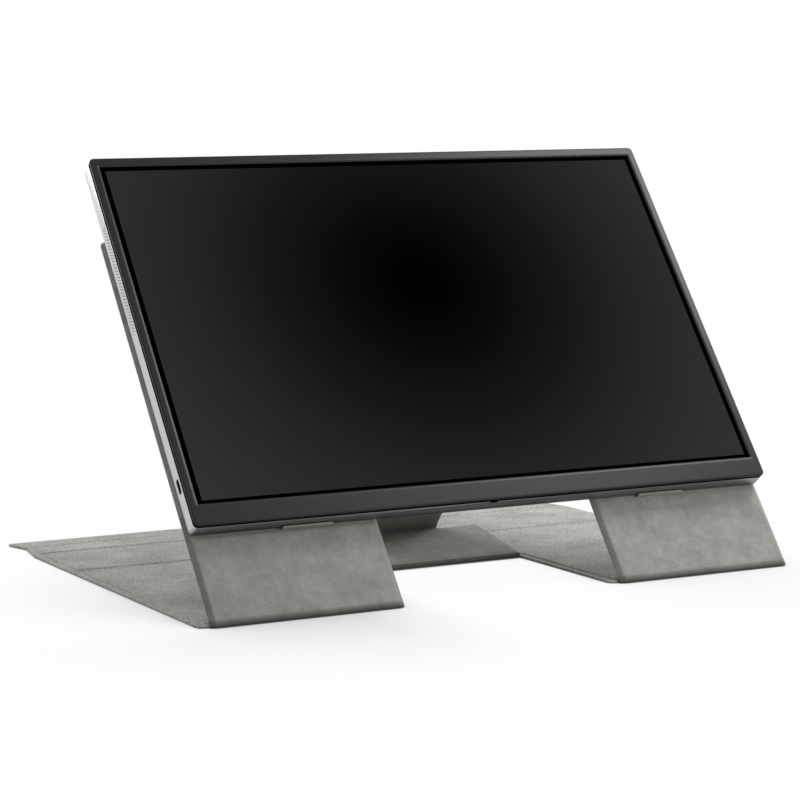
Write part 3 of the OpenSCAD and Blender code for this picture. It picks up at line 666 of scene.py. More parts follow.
def sound_hole_tree():
    """Three columns of short round bars, the middle one half a pitch up: what the sound holes take out."""
    tree = bpy.data.node_groups.new("Sound hole bars", "GeometryNodeTree")
    tree.interface.new_socket("Geometry", in_out="OUTPUT", socket_type="NodeSocketGeometry")
    ids = {}
    for name, kind in (
        ("Rows", "Int"), ("Pitch", "Float"), ("Column gap", "Float"),
        ("Diameter", "Float"), ("Depth", "Float"), ("Finish", "Material"),
    ):
        socket = tree.interface.new_socket(name, in_out="INPUT", socket_type=f"NodeSocket{kind}")
        ids[name] = socket.identifier
    given = add(tree, "NodeGroupInput").outputs
    step = add(tree, "ShaderNodeCombineXYZ", {"Y": given["Pitch"]})
    column = add(tree, "GeometryNodeMeshLine", {"Count": given["Rows"], "Offset": step})
    radius = add(tree, "ShaderNodeMath", {0: given["Diameter"], 1: 0.5}, operation="MULTIPLY")
    round_bar = {"Vertices": 12, "Radius": radius, "Depth": given["Depth"]}
    bar = add(tree, "GeometryNodeMeshCylinder", round_bar, fill_type="NGON")
    bar = add(tree, "GeometryNodeTransform", {"Geometry": bar, "Rotation": (0, math.pi / 2, 0)})
    join = add(tree, "GeometryNodeJoinGeometry")
    for up, across in ((0.0, -1.0), (0.5, 0.0), (0.0, 1.0)):
        y = add(tree, "ShaderNodeMath", {0: given["Pitch"], 1: up}, operation="MULTIPLY")
        z = add(tree, "ShaderNodeMath", {0: given["Column gap"], 1: across}, operation="MULTIPLY")
        shift = add(tree, "ShaderNodeCombineXYZ", {"Y": y, "Z": z})
        moved = add(tree, "GeometryNodeTransform", {"Geometry": column, "Translation": shift})
        tree.links.new(moved.outputs[0], join.inputs[0])
    bars = add(tree, "GeometryNodeInstanceOnPoints", {"Points": join, "Instance": bar})
    real = add(tree, "GeometryNodeRealizeInstances", {"Geometry": bars})
    painted = add(tree, "GeometryNodeSetMaterial", {"Geometry": real, "Material": given["Finish"]})
    add(tree, "NodeGroupOutput", {"Geometry": painted})
    return tree, ids


def sound_bars(side, tree, ids):
    """Cutter for the sound holes of one side wall."""
    obj = bpy.data.objects.new(f"sound_bars_{side}", bpy.data.meshes.new("bars"))
    bpy.context.scene.collection.objects.link(obj)
    modifier = obj.modifiers.new("bars", "NODES")
    modifier.node_group = tree
    for name, value in (
        ("Rows", int(SOUND_FIELD // SOUND_PITCH)), ("Pitch", SOUND_PITCH * MM),
        ("Column gap", SOUND_COLUMN * MM), ("Diameter", SOUND_D * MM),
        ("Depth", (WALL + 0.8) * MM), ("Finish", SILVER),
    ):
        modifier[ids[name]] = value
    plain_mesh(obj)
    at = on_monitor(side * (MON_W / 2 - WALL / 2), SOUND_S, PORT_N + 0.4)
    obj.data.transform(Matrix.Translation(Vector(at)) @ Matrix.Rotation(math.radians(TILT), 4, "X"))
    return obj


def plain_mesh(obj):
    """Turns what the modifiers give into the object's own mesh."""
    bpy.context.view_layer.update()
    evaluated = obj.evaluated_get(bpy.context.evaluated_depsgraph_get())
    mesh = bpy.data.meshes.new_from_object(evaluated)
    obj.modifiers.clear()
    obj.data = mesh


def cut(obj, cutters):
    """Takes every cutter out of obj, and removes the cutters."""
    whole = cutters[0]
    with bpy.context.temp_override(
        active_object=whole, object=whole, selected_editable_objects=cutters, selected_objects=cutters
    ):
        bpy.ops.object.join()
    modifier = obj.modifiers.new("cut", "BOOLEAN")
    modifier.operation = "DIFFERENCE"
    modifier.solver = "EXACT"
    modifier.object = whole
    plain_mesh(obj)
    bpy.data.objects.remove(whole)


def housing_shell(rim):
    """Closed shallow tray with a soft edge round its back. rim is the height of its open edge."""
    soft = 2.0
    turn = MON_BACK + soft  # where the wall turns into the back
    outer = [(0.2, rim), (0.06, rim - 0.06), (0.0, rim - 0.2), (0.0, turn + 1.5), (0.0, turn)]
    outer += quarter(0.0, turn, soft, MON_BACK, 6)
    outer += [(soft, MON_BACK), (soft + 2, MON_BACK)]
    inner = [(soft + 2, MON_BACK + WALL), (WALL, MON_BACK + WALL), (WALL, rim)]
    rings = [monitor_ring(inset, n) for inset, n in outer + inner]
    n, last = len(rings[0]), len(outer) - 1
    faces = []
    for k in range(len(rings)):
        if k == last:
            continue
        a, b = k * n, (k + 1) % len(rings) * n
        faces += [(a + i, a + (i + 1) % n, b + (i + 1) % n, b + i) for i in range(n)]
    faces += [tuple(range(last * n, (last + 1) * n)), tuple(range((last + 1) * n, (last + 2) * n))]
    shell = make_object("housing_shell", np.concatenate(rings), faces, SILVER)
    recalculate(shell)
    return shell


def housing():
    """Silver shell with its sockets' mouths, sound holes, screw recesses and opening notch."""
    rim = SEAM_N - 0.65
    shell = housing_shell(rim)
    outlines = [(side, slot_outline(*slot)) for side, slot in WALL_SLOTS]
    outlines += [(1, circle_outline(*hole)) for hole in WALL_HOLES]
    cutters, depths = [], (MON_W / 2 + 1, MON_W / 2 - WALL - 0.8)
    for side, outline in outlines:
        rings = [on_monitor(side * x, outline[:, 0], outline[:, 1]) for x in depths]
        cutters.append(loft("wall_cutter", rings, SILVER))
    notch = round_rect(-2.5, rim - 1.0, 2.5, rim + 2.0, 0.3, 3)  # where a tool opens the housing
    rings = [on_monitor(notch[:, 0], s, notch[:, 1]) for s in (-1.0, WALL + 0.3)]
    cutters.append(loft("notch_cutter", rings, SILVER))
    tree, ids = sound_hole_tree()
    cutters += [sound_bars(side, tree, ids) for side in (-1, 1)]
    for x in (SCREW_IN - MON_W / 2, 0.0, MON_W / 2 - SCREW_IN):
        for s in (SCREW_UP, MON_H / 2, MON_H - SCREW_UP):
            flat = circle_outline(x, s, SCREW_R)
            rings = [on_monitor(flat[:, 0], flat[:, 1], h) for h in (MON_BACK - 0.5, MON_BACK + 0.6)]
            cutters.append(loft("screw_cutter", rings, SILVER))
    cut(shell, cutters)
    shade(shell, 30)
    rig.replaces(shell, "rear_housing")
    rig.slot(shell, "housing")
    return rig.ride(shell, "monitor")


def opening_ring(out, n):
    """Ring round the bezel's opening, this far out from it and at this height above the support panel."""
    x0, s0, x1, s1 = OPENING
    flat = round_rect(x0 - out, s0 - out, x1 + out, s1 + out, 0.5 + out)
    return on_monitor(flat[:, 0], flat[:, 1], n)


def bezel():
    """Dark frame with a soft outer edge and a shallow bevel round the opening."""
    wide, deep = 1.0, 0.55  # the bevel round the opening
    front, low, rest = MON_FRONT, SEAM_N + 1.05, SEAM_N - 0.24  # rest is where it stands on the shell
    edges = [(WALL + 0.05, SEAM_N - 1.2), (WALL + 0.05, rest), (0.75, rest), (0.75, low), (0.12, low)]
    edges += [(0.0, low + 0.12), (0.0, front - 0.6)]
    edges += quarter(0.0, front - 0.6, 0.6, front, 4)
    edges += [(0.6, front), (1.4, front)]
    rings = [monitor_ring(inset, n) for inset, n in edges]
    over_glass = GLASS_N + 0.005
    rings += [opening_ring(out, n) for out, n in (
        (wide + 0.9, front), (wide, front), (0.0, front - deep),
        (0.0, over_glass), (2.0, over_glass), (2.0, SEAM_N - 1.2),
    )]
    frame_piece = loft("bezel_frame", rings, BEZEL, closed=True, sharp=30)
    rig.replaces(frame_piece, "front_bezel")
    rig.slot(frame_piece, "bezel")
    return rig.ride(frame_piece, "monitor")


def seam_shade_strip():
    """Black ring that fills the groove between the frame and the shell with painted shade."""
    low, high, inner = SEAM_N - 0.62, SEAM_N - 0.3, WALL + 0.3
    edges = ((inner, low), (0.16, low), (0.1, low + 0.08), (0.3, high), (inner, high))
    ring = loft("painted_seam_shade", [monitor_ring(inset, n) for inset, n in edges], SEAM_SHADE, closed=True, sharp=30)
    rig.slot(ring, "bezel")
    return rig.ride(ring, "monitor")


def side_pill(name, s, node, body):
    """Button that stands half a millimetre out of the right wall, with a soft rim."""
    out = MON_W / 2 + 0.5
    rings = []
    for x, less in ((out - 3.2, 0.0), (out - 0.3, 0.0), (out - 0.12, 0.06), (out - 0.02, 0.2), (out, 0.45)):
        flat = slot_outline(s, PORT_N, BUTTON_LENGTH - 2 * less, BUTTON_WIDTH - 2 * less)
        rings.append(on_monitor(x, flat[:, 0], flat[:, 1]))
    pill = loft(name, rings, SILVER)
    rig.replaces(pill, node)
    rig.slot(pill, "button")
    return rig.ride(pill, body)


housing()
bezel()
seam_shade_strip()
side_pill("power_pill", POWER_S, "power_button", "power_key")
side_pill("menu_pill", MENU_S, "menu_button", "menu_key")


# ---------- cover sheets ----------

# Height of a cover face at each distance from the sheet's edge: a cut edge, the pinched border,
# the groove beside the board, and the board. The panel's face slopes down to its cut edge.
GROOVE = ([3.6, 3.9, 4.15, 4.4, 4.7, 5.2, 6.2], [1.0, 0.94, 1.1, 1.32, 1.48, 1.57, 1.6])
BASE_EDGE = ([0, 0.12, 0.4, 0.8] + GROOVE[0], [0.55, 0.8, 0.95, 1.0] + GROOVE[1])
CREASE_EDGE = ([0, 0.3, 0.7, 1.2] + GROOVE[0], [0.7, 0.8, 0.97, 1.0] + GROOVE[1])
PANEL_EDGE = (
    [0, 0.12, 0.4, 0.8, 1.5, 2.2, 2.7, 3.2, 4.0],
    [-2.5, -2.3, -2.05, -1.7, -1.08, -0.48, -0.18, -0.04, 0.0],
)
FLAP_EDGE = ([0, 0.12, 0.4, 0.8, 2.2], [0.55, 0.85, 1.2, 1.36, 1.4])
FLAP_CREASE = ([0, 0.3, 0.8, 2.2, 3.6], [0.7, 0.8, 1.0, 1.3, 1.4])
INSETS = [0, 0.12, 0.4, 0.8, 1.5, 2.2, 2.7, 3.2] + GROOVE[0]  # grid lines beside every outline


def follow(distance, edge):
    """Height at this distance on one of the profiles above."""
    return np.interp(distance, edge[0], edge[1])


def grid_lines(edges, insets, step):
    """Grid lines at the insets from every edge, and even steps between. edges are places and ways inwards."""
    return spaced([place + side * inset for place, side in edges for inset in insets], step)


def notch_distance(u, v, half, end):
    """Distance to a cut-out of this half width that runs from the front to end."""
    out, past = np.abs(u) - half, v - end
    beyond = np.where(out <= 0, past, np.hypot(np.maximum(out, 0), np.maximum(past, 0)))
    return np.where(past <= 0, out, beyond)


def ripple(u, v, height):
    """Slight unevenness of glued cloth."""
    u, v = np.asarray(u) / 10, np.asarray(v) / 10
    wave = np.sin(0.9 * u + 0.31 * v + 0.4) + np.sin(-0.47 * u + 1.13 * v + 1.9)
    wave += np.sin(1.7 * u - 0.8 * v + 4.1) * 0.6
    return height * wave / 2.6


def declare(obj, flat, area, rests_on):
    """Cloth that is glued to its board."""
    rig.sheet(obj, flat=flat, held="laid", rests_on=rests_on, area=area)


FRONT_CORNERS = (  # place across, way out and size: a larger one is cut, and a smaller one round
    (-BASE_X, -1, CORNER_CUT - 2.5), (-GAP_X, 1, CORNER_CUT + 3.0),
    (BASE_X, 1, CORNER_CUT + 4.5), (GAP_X, -1, CORNER_CUT - 2.5),
)


def base_shape(u, v):
    """Draws the sides in towards the closing flap's crease, and gives each front corner its own cut."""
    waist = np.interp(v, (CREASES[1], CREASES[2], BACK_Y), (0, 1, 0))
    su, sv = u * (1 + (FLAP_X / BASE_X - 1) * waist), v
    for x, out, size in FRONT_CORNERS:
        su, sv = round_corner(su, sv, (x, BASE_START, out, -1), size, chamfer=size > CORNER_CUT)
    return su, sv


def base_top(u, v):
    """The base sheet's felt: pinched at its outline, grooved beside its boards and thin at its creases."""
    side = BASE_X - np.abs(u)
    edge = np.minimum(np.minimum(side, v - BASE_START), notch_distance(u, v, GAP_X, GAP_Y))
    crease = np.min([np.abs(v - c) for c in CREASES], axis=0)
    height = np.minimum(follow(edge, BASE_EDGE), follow(crease, CREASE_EDGE))
    flap_edge = follow(np.minimum(side, BACK_Y - v), FLAP_EDGE)
    flap = np.minimum(flap_edge, follow(np.abs(v - CREASES[2]), FLAP_CREASE))
    height = np.where(v >= CREASES[2], flap, height)
    lift = np.clip((height - 1.0) / 0.6, 0, 1)
    return height + ripple(u, v, 0.05) * lift


def base_under(u, v):
    """Underside of that felt: a cloth's thickness below, and never below the suede's top."""
    return np.maximum(SHEET, base_top(u, v) - SHEET)


def all_cells(u, v):
    return np.ones_like(u, bool)


def base_cells(u, v):
    """Everywhere but in the cut-out."""
    return ~((np.abs(u) < GAP_X) & (v < GAP_Y))


def level(height):
    """A face of one height."""
    return lambda u, v: np.full_like(u, height)


BEND = 7.0  # half width of the strip of cover that bends at a crease
base_us = grid_lines([(-BASE_X, 1), (BASE_X, -1), (-GAP_X, -1), (GAP_X, 1)], INSETS, 4.0)
crease_sides = [(c, side) for c in CREASES for side in (-1, 1)]
base_vs = grid_lines([(BASE_START, 1), (GAP_Y, 1)] + crease_sides + [(BACK_Y, -1)], INSETS, 4.0)
flat_stops = [BASE_X, BASE_X - 3, BASE_X - 7, GAP_X, GAP_X + 3, GAP_X + 7]
flat_us = spaced([side * x for side in (-1, 1) for x in flat_stops], 30.0)

PARTS = (
    # name, body, from, to, nodes of the outer and inner sheet
    ("base", "base", BASE_START, CREASES[0] - BEND, "base_top_sheet", "base_under_sheet"),
    ("rear", "rear_panel", CREASES[0] + BEND, CREASES[1] - BEND, "rear_top_sheet", "rear_under_sheet"),
    ("spine", "spine_strip", CREASES[1] + BEND, CREASES[2] - BEND, "spine_top_sheet", "spine_under_sheet"),
    ("flap", "closing_flap", CREASES[2] + BEND, BACK_Y, "flap_top_sheet", "flap_under_sheet"),
)


def base_piece(name, start, end, outer, material, slot_name):
    """One stretch of the base sheet, either its outer cloth or the suede under it."""
    if outer:
        us, faces = base_us, (base_top, base_under)
        vs = base_vs[(base_vs > start + 1e-3) & (base_vs < end - 1e-3)]
        vs = np.concatenate([[start], vs, [end]])
    else:
        us, faces = flat_us, (level(SHEET), level(0.0))
        stops = [s for s in (BASE_START + 3, BASE_START + 7, GAP_Y, BACK_Y - 3) if start < s < end]
        vs = spaced([start, end] + stops, 1.0 if end - start < 15 else 20.0)  # close where it bends
    obj = sheet_mesh(name, us, vs, base_cells, base_shape, *faces, on_table, material)
    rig.slot(obj, slot_name)
    area = 2 * BASE_X * (end - start)
    if start < GAP_Y:
        area -= 2 * GAP_X * (GAP_Y - start)
    declare(obj, (2 * BASE_X * MM, (end - start) * MM), area * MM * MM, ["base_board"])
    return obj


for part, body, start, end, outer_node, inner_node in PARTS:
    cloth = base_piece(f"{part}_felt", start, end, True, FELT, "outer_cloth")
    lining = base_piece(f"{part}_suede", start, end, False, SUEDE, "inner_suede")
    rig.replaces(cloth, outer_node)
    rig.replaces(lining, inner_node)
    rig.ride(cloth, body)
    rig.ride(lining, body)

for crease, before, after in zip(CREASES, PARTS, PARTS[1:]):
    start, end = crease - BEND, crease + BEND
    cloth = base_piece(f"{after[0]}_crease_felt", start, end, True, FELT, "outer_cloth")
    lining = base_piece(f"{after[0]}_crease_suede", start, end, False, SUEDE, "inner_suede")
    first, last = on_table(0, crease - 4.3, 1.6), on_table(0, crease + 4.3, 1.6)
    for piece in (cloth, lining):
        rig.blend(piece, before[1], after[1], start=first, end=last)


def paint_fold_shade(obj, top, sides=()):
    """Paints shade into the pressed attribute that darkens the suede: on a fold from its lowest line up to
    the height top above the table, and lightly on the slopes of a foot's sides. All in mm."""
    across, height = (np.array([vertex.co[k] for vertex in obj.data.vertices]) / MM for k in (0, 2))
    flat = np.zeros_like(height)
    if top:
        flat = np.interp(height / top, (0.0, 0.12, 0.35, 0.8, 1.0), (1.0, 0.9, 0.72, 0.55, 0.0))
    foot_top, slope_width, fade, lightly = FOOT_GAP_LEN * 0.79, 2.7, 0.6, 0.32
    for x in sides:
        beside = np.clip((slope_width - np.abs(across - x)) / fade, 0, 1) * (height < foot_top)
        flat = np.maximum(flat, lightly * beside)
    obj.data.attributes.new("pressed", "FLOAT", "POINT").data.foreach_set("value", flat)


def far_corners(half, length, cut_corners=False):
    """Shape of a panel whose two corners at the far end are round or cut."""

    def shape(u, v):
        for side in (-1, 1):
            u, v = round_corner(u, v, (side * half, length, side, 1), 3.0, cut_corners)
        return u, v

    return shape


SWELL_S = 50.5  # where the suede stands highest along the panel


def support_top(u, v):
    """The panel's suede face: sloping down all round its outline, and swollen just below the monitor's edge.
    At the foot it runs on into the fold."""
    rim = np.minimum(SUPPORT_X - np.abs(u), SUPPORT_LEN - v)
    edge = np.minimum(rim, notch_distance(u, v, FOOT_IN, FOOT_GAP_LEN))
    height = follow(edge, PANEL_EDGE)
    lift = np.clip(height + 1.0, 0, 1)
    swell = np.exp(-(((v - SWELL_S) / 4.0) ** 2)) * np.clip((MONITOR_S - 0.2 - v) / 1.6, 0, 1)
    swell *= np.where(u < 0, 1.3, 0.4)  # more on the left foot
    return height + (ripple(u, v, 0.06) + swell) * lift


def support_cells(u, v):
    """Everywhere but between the feet."""
    return ~((np.abs(u) < FOOT_IN) & (v < FOOT_GAP_LEN))


support_us = grid_lines([(-SUPPORT_X, 1), (SUPPORT_X, -1), (-FOOT_IN, -1), (FOOT_IN, 1)], INSETS, 4.0)
support_vs = spaced(  # with close lines where the suede swells
    [FOLD_START, 42.0, 44.0, 46.0, 48.0, 50.0, 51.0, 52.0, 52.6, 53.2, 54.0]
    + [FOOT_GAP_LEN + i for i in INSETS] + [SUPPORT_LEN - i for i in INSETS], 4.0
)
few_us = spaced([-SUPPORT_X, -SUPPORT_X + 3, -FOOT_IN, FOOT_IN, SUPPORT_X - 3, SUPPORT_X], 30.0)
few_vs = spaced([FOLD_START, FOOT_GAP_LEN, SUPPORT_LEN - 3, SUPPORT_LEN], 20.0)
support_shape, between_sheets = far_corners(SUPPORT_X, SUPPORT_LEN), level(-SUPPORT_T + SHEET)
support_suede = sheet_mesh(
    "support_suede", support_us, support_vs, support_cells, support_shape, support_top, between_sheets,
    on_panel, SUEDE,
)
support_felt = sheet_mesh(
    "support_felt", few_us, few_vs, support_cells, support_shape, between_sheets, level(-SUPPORT_T),
    on_panel, FELT,
)
support_flat = (2 * SUPPORT_X * MM, (SUPPORT_LEN - FOLD_START) * MM)
support_area = 2 * SUPPORT_X * (SUPPORT_LEN - FOLD_START) - 2 * FOOT_IN * (FOOT_GAP_LEN - FOLD_START)
for piece, node, slot_name in (
    (support_suede, "support_inner_sheet", "inner_suede"),
    (support_felt, "support_outer_sheet", "outer_cloth"),
):
    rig.replaces(piece, node)
    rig.slot(piece, slot_name)
    declare(piece, support_flat, support_area * MM * MM, ["support_board"])
    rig.ride(piece, "support")
# Painted shade on the slopes of the feet's sides.
paint_fold_shade(support_suede, 0, (-SUPPORT_X, -FOOT_IN, FOOT_IN, SUPPORT_X))


def fold_path(inset):
    """Side view of the fold this far from a foot's side. It slopes down there like the panel's edge."""
    face = float(follow(inset, PANEL_EDGE))
    r = FOLD_R + 0.5 * face
    cosine, sine = math.cos(math.radians(TILT)), math.sin(math.radians(TILT))
    nose = ((r * cosine - face + r) / sine, r)
    path = [(9.0, 0.0), (6.0, 0.0)] + arc(nose, r, 270, 90 + TILT, 14)
    path += [side_view(on_panel, s, n) for s, n in (
        (4.6, face), (5.4, face - 0.01), (6.3, face - 0.03), (6.3, (face - SUPPORT_T) / 2), (6.3, -SUPPORT_T),
        (4.9, -SUPPORT_T),
    )]
    return path + [(HINGE_Y - 0.25, 1.25), (6.2, 1.03), (8.0, 1.02), (9.0, 0.96)]


def front_fold(name, x0, x1):
    """Suede that comes from under the base sheet, round the foot's lower edge and on into its front."""
    xs = spaced([x0 + i for i in INSETS] + [x1 - i for i in INSETS], 6.0)
    rings = []
    for x in xs:
        p = np.array(fold_path(min(x - x0, x1 - x)))
        rings.append(on_table(x, p[:, 0], p[:, 1]))
    fold = loft(name, rings, SUEDE, sharp=40)
    # Painted shade along the fold's lower edge and on the foot's sides.
    paint_fold_shade(fold, 4.0, (x0, x1))
    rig.slot(fold, "inner_suede")
    start, end = on_table(0, 6.2, 0.5), on_table(0, 5.2, 3.2)
    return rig.blend(fold, "base", "support", start=start, end=end)


left_fold = front_fold("left_front_fold", -SUPPORT_X, -FOOT_IN)
right_fold = front_fold("right_front_fold", FOOT_IN, SUPPORT_X)
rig.replaces(left_fold, "front_fold_roll")
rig.replaces(right_fold, "front_fold_roll")


def ledge_tab(x):
    """Rings of a small tab with soft corners, on which the monitor's lower edge stands."""
    half, deep, out = 15.0, 1.15, 4.2
    rings = []
    for s, less in (
        (0.0, 0.25), (-0.12, 0.07), (-0.3, 0.0), (0.3 - deep, 0.0), (0.12 - deep, 0.07), (-deep, 0.25),
    ):
        flat = round_rect(x - half + less, -1.0, x + half - less, out - less, 1.0)
        flat[:, 1] = np.maximum(flat[:, 1], 0.0)
        thin = 0.45 + 0.55 * flat[:, 1] / out  # the tab thickens towards its front
        rings.append(on_panel(flat[:, 0], MONITOR_S - MON_BACK + s * thin, flat[:, 1]))
    return rings


tabs = [loft(f"ledge_{side}", ledge_tab(x), LEDGE) for side, x in (("left", -112.0), ("right", 112.0))]
for tab in tabs:
    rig.replaces(tab, "ledge_tabs")
    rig.slot(tab, "ledge")
    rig.ride(tab, "support")


# ---------- prop ----------

# Height of the tongue's and the strut's suede at each distance from its cut edge, and from where it folds
PROP_EDGE = (
    [0, 0.1, 0.3, 0.6, 1.6, 1.85, 2.05, 2.4, 3.0, 3.8],
    [0.9, 1.25, 1.45, 1.5, 1.5, 1.56, 1.7, 1.88, 1.98, 2.0],
)
PROP_FOLD = ([0, 0.6, 1.6, 3.0], [1.84, 1.86, 1.95, 2.0])


def prop_panel(part, half, start, length, sunk, step, place, nodes, cut_corners=False):
    """Suede and felt of the tongue or the strut. sunk is how far its felt lies below the frame's own line."""

    def top(u, v):
        edge = np.minimum(half - np.abs(u), length - v)
        height = np.minimum(follow(edge, PROP_EDGE), follow(v - start, PROP_FOLD))
        return height - sunk + ripple(u, v, 0.03) * np.clip((height - 1.5) / 0.5, 0, 1)

    us = grid_lines([(-half, 1), (half, -1)], PROP_EDGE[0], step)
    vs = grid_lines([(start, 1), (length, -1)], PROP_EDGE[0], step)
    few_us = spaced([-half, 3 - half, half - 3, half], 20.0)
    few_vs = spaced([start, length - 3, length], 20.0)
    shape, middle = far_corners(half, length, cut_corners), level(SHEET - sunk)
    lining = sheet_mesh(f"{part}_suede", us, vs, all_cells, shape, top, middle, place, SHADED_PROP_SUEDE)
    cloth = sheet_mesh(f"{part}_felt", few_us, few_vs, all_cells, shape, middle, level(-sunk), place, FELT)
    for piece, node, slot_name in zip((lining, cloth), nodes, ("inner_suede", "outer_cloth")):
        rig.replaces(piece, node)
        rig.slot(piece, slot_name)
        flat = (2 * half * MM, (length - start) * MM)
        declare(piece, flat, flat[0] * flat[1], [f"{part}_board"])
        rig.ride(piece, part)


TONGUE_NODES = ("tongue_top_sheet", "tongue_under_sheet")
STRUT_NODES = ("strut_front_sheet", "strut_back_sheet")
prop_panel("tongue", TONGUE_X, TONGUE_START, TONGUE_LEN, 0.0, 4.0, on_tongue, TONGUE_NODES, cut_corners=True)
prop_panel("strut", STRUT_X, STRUT_START, STRUT_LEN, 1.0, 5.0, on_strut, STRUT_NODES)


def roll_lines(half, inner, count):
    """Places across a roll: close together at its drawn-in ends, and even between."""
    ends = [half, half - 0.3, half - 1.2]
    return [-x for x in ends] + list(np.linspace(-inner, inner, count)) + ends[::-1]


def tongue_fold():
    """Round nose where the base sheet's suede turns up and back into the tongue."""
    y = TONGUE_Y
    path = [(y + 4.5, 0.02), (y + 2.0, 0.04)] + arc((y, TONGUE_Z), TONGUE_ROLL, 270, 90 + TONGUE_RISE, 20)
    tongue_side = ((1.0, 1.76), (2.2, 1.82), (2.6, 0.8), (2.6, 0.02), (1.2, 0.0))
    path += [side_view(on_tongue, v, h) for v, h in tongue_side]
    path += [(y + 1.6, 1.35), (y + 2.6, 0.98), (y + 4.5, 0.94)]
    fold = swept("tongue_fold", path, roll_lines(TONGUE_X, 57, 13), SUEDE)
    # Painted shade along the tongue fold's lower part.
    paint_fold_shade(fold, 3.5)
    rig.replaces(fold, "tongue_fold_roll")
    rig.slot(fold, "inner_suede")
    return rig.blend(fold, "base", "tongue", start=on_table(0, y + 2.5, 0.5), end=on_table(0, y + 2.5, 2.6))


def crest():
    """Soft crest where the tongue's sheets turn up into the strut."""
    end = TONGUE_LEN
    path = [side_view(on_tongue, v, h) for v, h in ((end - 1.7, 1.5), (end, 1.52), (end + 0.7, 1.56))]
    strut_side = ((1.25, 0.58), (2.0, 0.53), (3.6, 0.5), (3.6, -1.0), (2.0, -1.0), (0.8, -1.0))
    path += [side_view(on_strut, v, h) for v, h in strut_side]
    path += arc((CREST_Y, CREST_Z), 1.0, STRUT_DIR - 90, TONGUE_RISE - 90, 12)
    path += [side_view(on_tongue, v, 0.0) for v in (end + 1.0, end, end - 1.7)]
    fold = swept("crest_fold", path, roll_lines(STRUT_X, 30, 9), SHADED_PROP_SUEDE)
    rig.replaces(fold, "crest_roll")
    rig.slot(fold, "inner_suede")
    a = math.radians((TONGUE_RISE + 180 + STRUT_DIR) / 2 - 90)
    reach = 1.1
    across, up = reach * math.cos(a), reach * math.sin(a)
    first, last = on_table(0, CREST_Y - across, CREST_Z - up), on_table(0, CREST_Y + across, CREST_Z + up)
    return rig.blend(fold, "tongue", "strut", start=first, end=last)


tongue_fold()
crest()


# ---------- floor, light and camera ----------


def looked_at(tree):
    """1 for rays from the camera, for reflections and for what shows through glass."""
    rays = add(tree, "ShaderNodeLightPath").outputs
    seen = rays["Is Camera Ray"]
    for kind in ("Is Glossy Ray", "Is Transmission Ray"):
        seen = add(tree, "ShaderNodeMath", {0: seen, 1: rays[kind]}, operation="MAXIMUM")
    return seen


def stage_floor():
    # White floor that turns into the white background away from the object. To the camera it is mostly
    # a plain white with a painted shadow, which darkens softly under the edges and, most on the left, away from
    # the light, round the foot, so the shadow stays light. In reflections it shows painted shade under the object.
    made, tree, place = empty_material("Studio floor, painted white")
    matt = {"Base Color": linear("CDCDCD"), "Roughness": 0.8, "Specular IOR Level": 0.1}
    paint = add(tree, "ShaderNodeBsdfPrincipled", matt)
    near, beside, wide = (
        add(tree, "ShaderNodeAmbientOcclusion", {"Distance": reach}, samples=16).outputs["AO"]
        for reach in (0.04, 0.2, 0.3)
    )
    close = add(tree, "ShaderNodeValToRGB", {"Fac": near}, (
        (0.0, "404040"), (0.3, "909090"), (0.55, "DCDCDC"), (0.8, "F8F8F8"), (0.95, "FFFFFF"),
    ))
    painted_side_shadow = add(tree, "ShaderNodeValToRGB", {"Fac": beside}, (
        (0.4, "CACACA"), (0.7, "E4E4E4"), (0.82, "F6F6F6"), (0.92, "FFFFFF"),
    ))
    painted_front_shadow = add(tree, "ShaderNodeValToRGB", {"Fac": beside}, (
        (0.4, "BCBCBC"), (0.7, "D2D2D2"), (0.9, "EEEEEE"), (0.98, "FFFFFF"),
    ))
    at = add(tree, "ShaderNodeSeparateXYZ", {0: place}).outputs
    front = add(tree, "ShaderNodeMapRange", {"Value": at["Y"], "From Min": -0.13, "From Max": -0.17})
    left = add(tree, "ShaderNodeMapRange", {"Value": at["X"], "From Min": -0.05, "From Max": -0.1})
    to_right = {"Value": at["X"], "From Min": 0.04, "From Max": 0.1, "To Max": 0.25}
    right = add(tree, "ShaderNodeMapRange", to_right)
    shaded = add(tree, "ShaderNodeMath", {0: left, 1: right}, operation="ADD")
    full = add(tree, "ShaderNodeMix", {"Factor": front, 6: painted_side_shadow, 7: painted_front_shadow}, data_type="RGBA").outputs[2]
    fading = {"Factor": shaded, 6: linear("FFFFFF"), 7: full}
    soft = add(tree, "ShaderNodeMix", fading, data_type="RGBA").outputs[2]
    painted_shadow_to_eye = add(tree, "ShaderNodeVectorMath", {0: close, 1: soft}, operation="MULTIPLY")
    painted_reflected_shade = add(tree, "ShaderNodeValToRGB", {"Fac": wide}, (
        (0.2, "101010"), (0.5, "484848"), (0.75, "B4B4B4"), (0.95, "FFFFFF"),
    ))
    eye = add(tree, "ShaderNodeLightPath").outputs["Is Camera Ray"]
    white = add(tree, "ShaderNodeMix", {"Factor": eye, 6: painted_reflected_shade, 7: painted_shadow_to_eye}, data_type="RGBA").outputs[2]
    glow = add(tree, "ShaderNodeEmission", {"Color": white, "Strength": 1.0})
    away = add(tree, "ShaderNodeVectorMath", {0: place}, operation="LENGTH").outputs["Value"]
    span = {"Value": away, "From Min": 0.15, "From Max": 0.4, "To Min": 0.96, "To Max": 1.0}
    share = add(tree, "ShaderNodeMapRange", span)
    share = add(tree, "ShaderNodeMath", {0: share, 1: looked_at(tree)}, operation="MULTIPLY")
    mixed = add(tree, "ShaderNodeMixShader", {"Fac": share, 1: paint, 2: glow})
    add(tree, "ShaderNodeOutputMaterial", {"Surface": mixed})
    half, low = 6.0, -0.0004
    points = [(-half, -half, low), (half, -half, low), (half, half, low), (-half, half, low)]
    floor = make_object("studio_floor", points, [(0, 1, 2, 3)], made)
    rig.stage(floor)


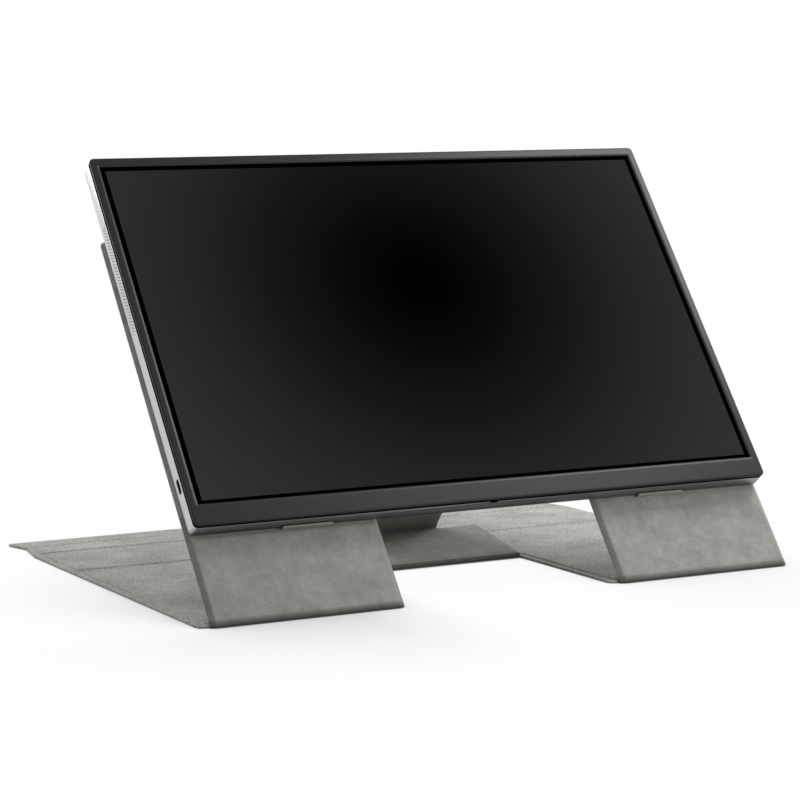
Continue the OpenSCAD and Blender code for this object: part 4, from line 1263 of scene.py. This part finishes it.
def soft_light(name, at, aim, size, power):
    """Round lamp of this diameter in metres and power in watts, aimed at a place."""
    lamp = bpy.data.lights.new(name, "AREA")
    lamp.shape = "DISK"
    lamp.size = size
    lamp.energy = power
    obj = bpy.data.objects.new(name, lamp)
    bpy.context.scene.collection.objects.link(obj)
    obj.location = at
    obj.rotation_euler = (Vector(aim) - Vector(at)).to_track_quat("-Z", "Y").to_euler()


def studio_world():
    """White to the eye and in reflections, and a plain sky light on the object."""
    world = bpy.data.worlds.new("Studio")
    bpy.context.scene.world = world
    world.use_nodes = True
    tree = world.node_tree
    tree.nodes.clear()
    sky, white = (
        add(tree, "ShaderNodeBackground", {"Color": linear("FFFFFF"), "Strength": strength})
        for strength in (0.36, 1.0)
    )
    mixed = add(tree, "ShaderNodeMixShader", {"Fac": looked_at(tree), 1: sky, 2: white})
    add(tree, "ShaderNodeOutputWorld", {"Surface": mixed})


def camera():
    """The photograph's view: a long lens, turned 27 degrees to the right and looking 6 degrees down."""
    yaw, pitch, roll = (math.radians(a) for a in (27.11, 6.244, -0.7625))
    ahead = Vector((math.sin(yaw) * math.cos(pitch), math.cos(yaw) * math.cos(pitch), -math.sin(pitch)))
    level_right = Vector((math.cos(yaw), -math.sin(yaw), 0))
    level_up = level_right.cross(ahead)
    right = level_right * math.cos(roll) + level_up * math.sin(roll)
    up = level_up * math.cos(roll) - level_right * math.sin(roll)
    lens = bpy.data.cameras.new("photo_camera")
    lens.sensor_width = 36.0
    lens.lens = 116.33
    lens.clip_start = 0.05
    lens.clip_end = 30
    obj = bpy.data.objects.new("photo_camera", lens)
    bpy.context.scene.collection.objects.link(obj)
    turn = Matrix((right, up, -ahead)).transposed().to_4x4()
    obj.matrix_world = Matrix.Translation((-0.6923, -1.369, 0.2614)) @ turn
    bpy.context.scene.camera = obj


stage_floor()
studio_world()
soft_light("key_light", (0.42, -0.18, 0.63), (0.05, -0.05, 0.1), 0.3, 2.6)
soft_light("side_light", (0.85, 0.22, 0.42), (0.0, 0.0, 0.04), 0.4, 3.5)
soft_light("front_fill", (0.25, -0.85, 0.06), (0.03, -0.15, 0.03), 0.5, 2.2)
soft_light("back_light", (-0.51, 0.64, 0.51), (-0.1, 0.12, 0.0), 0.5, 4.0)
camera()
bpy.context.scene.view_settings.view_transform = "Standard"

visual_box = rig.bounds()
with open("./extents.json", "w") as size_file:
    json.dump({"cad": [list(p) for p in cad_box], "visual": [list(p) for p in visual_box]}, size_file)
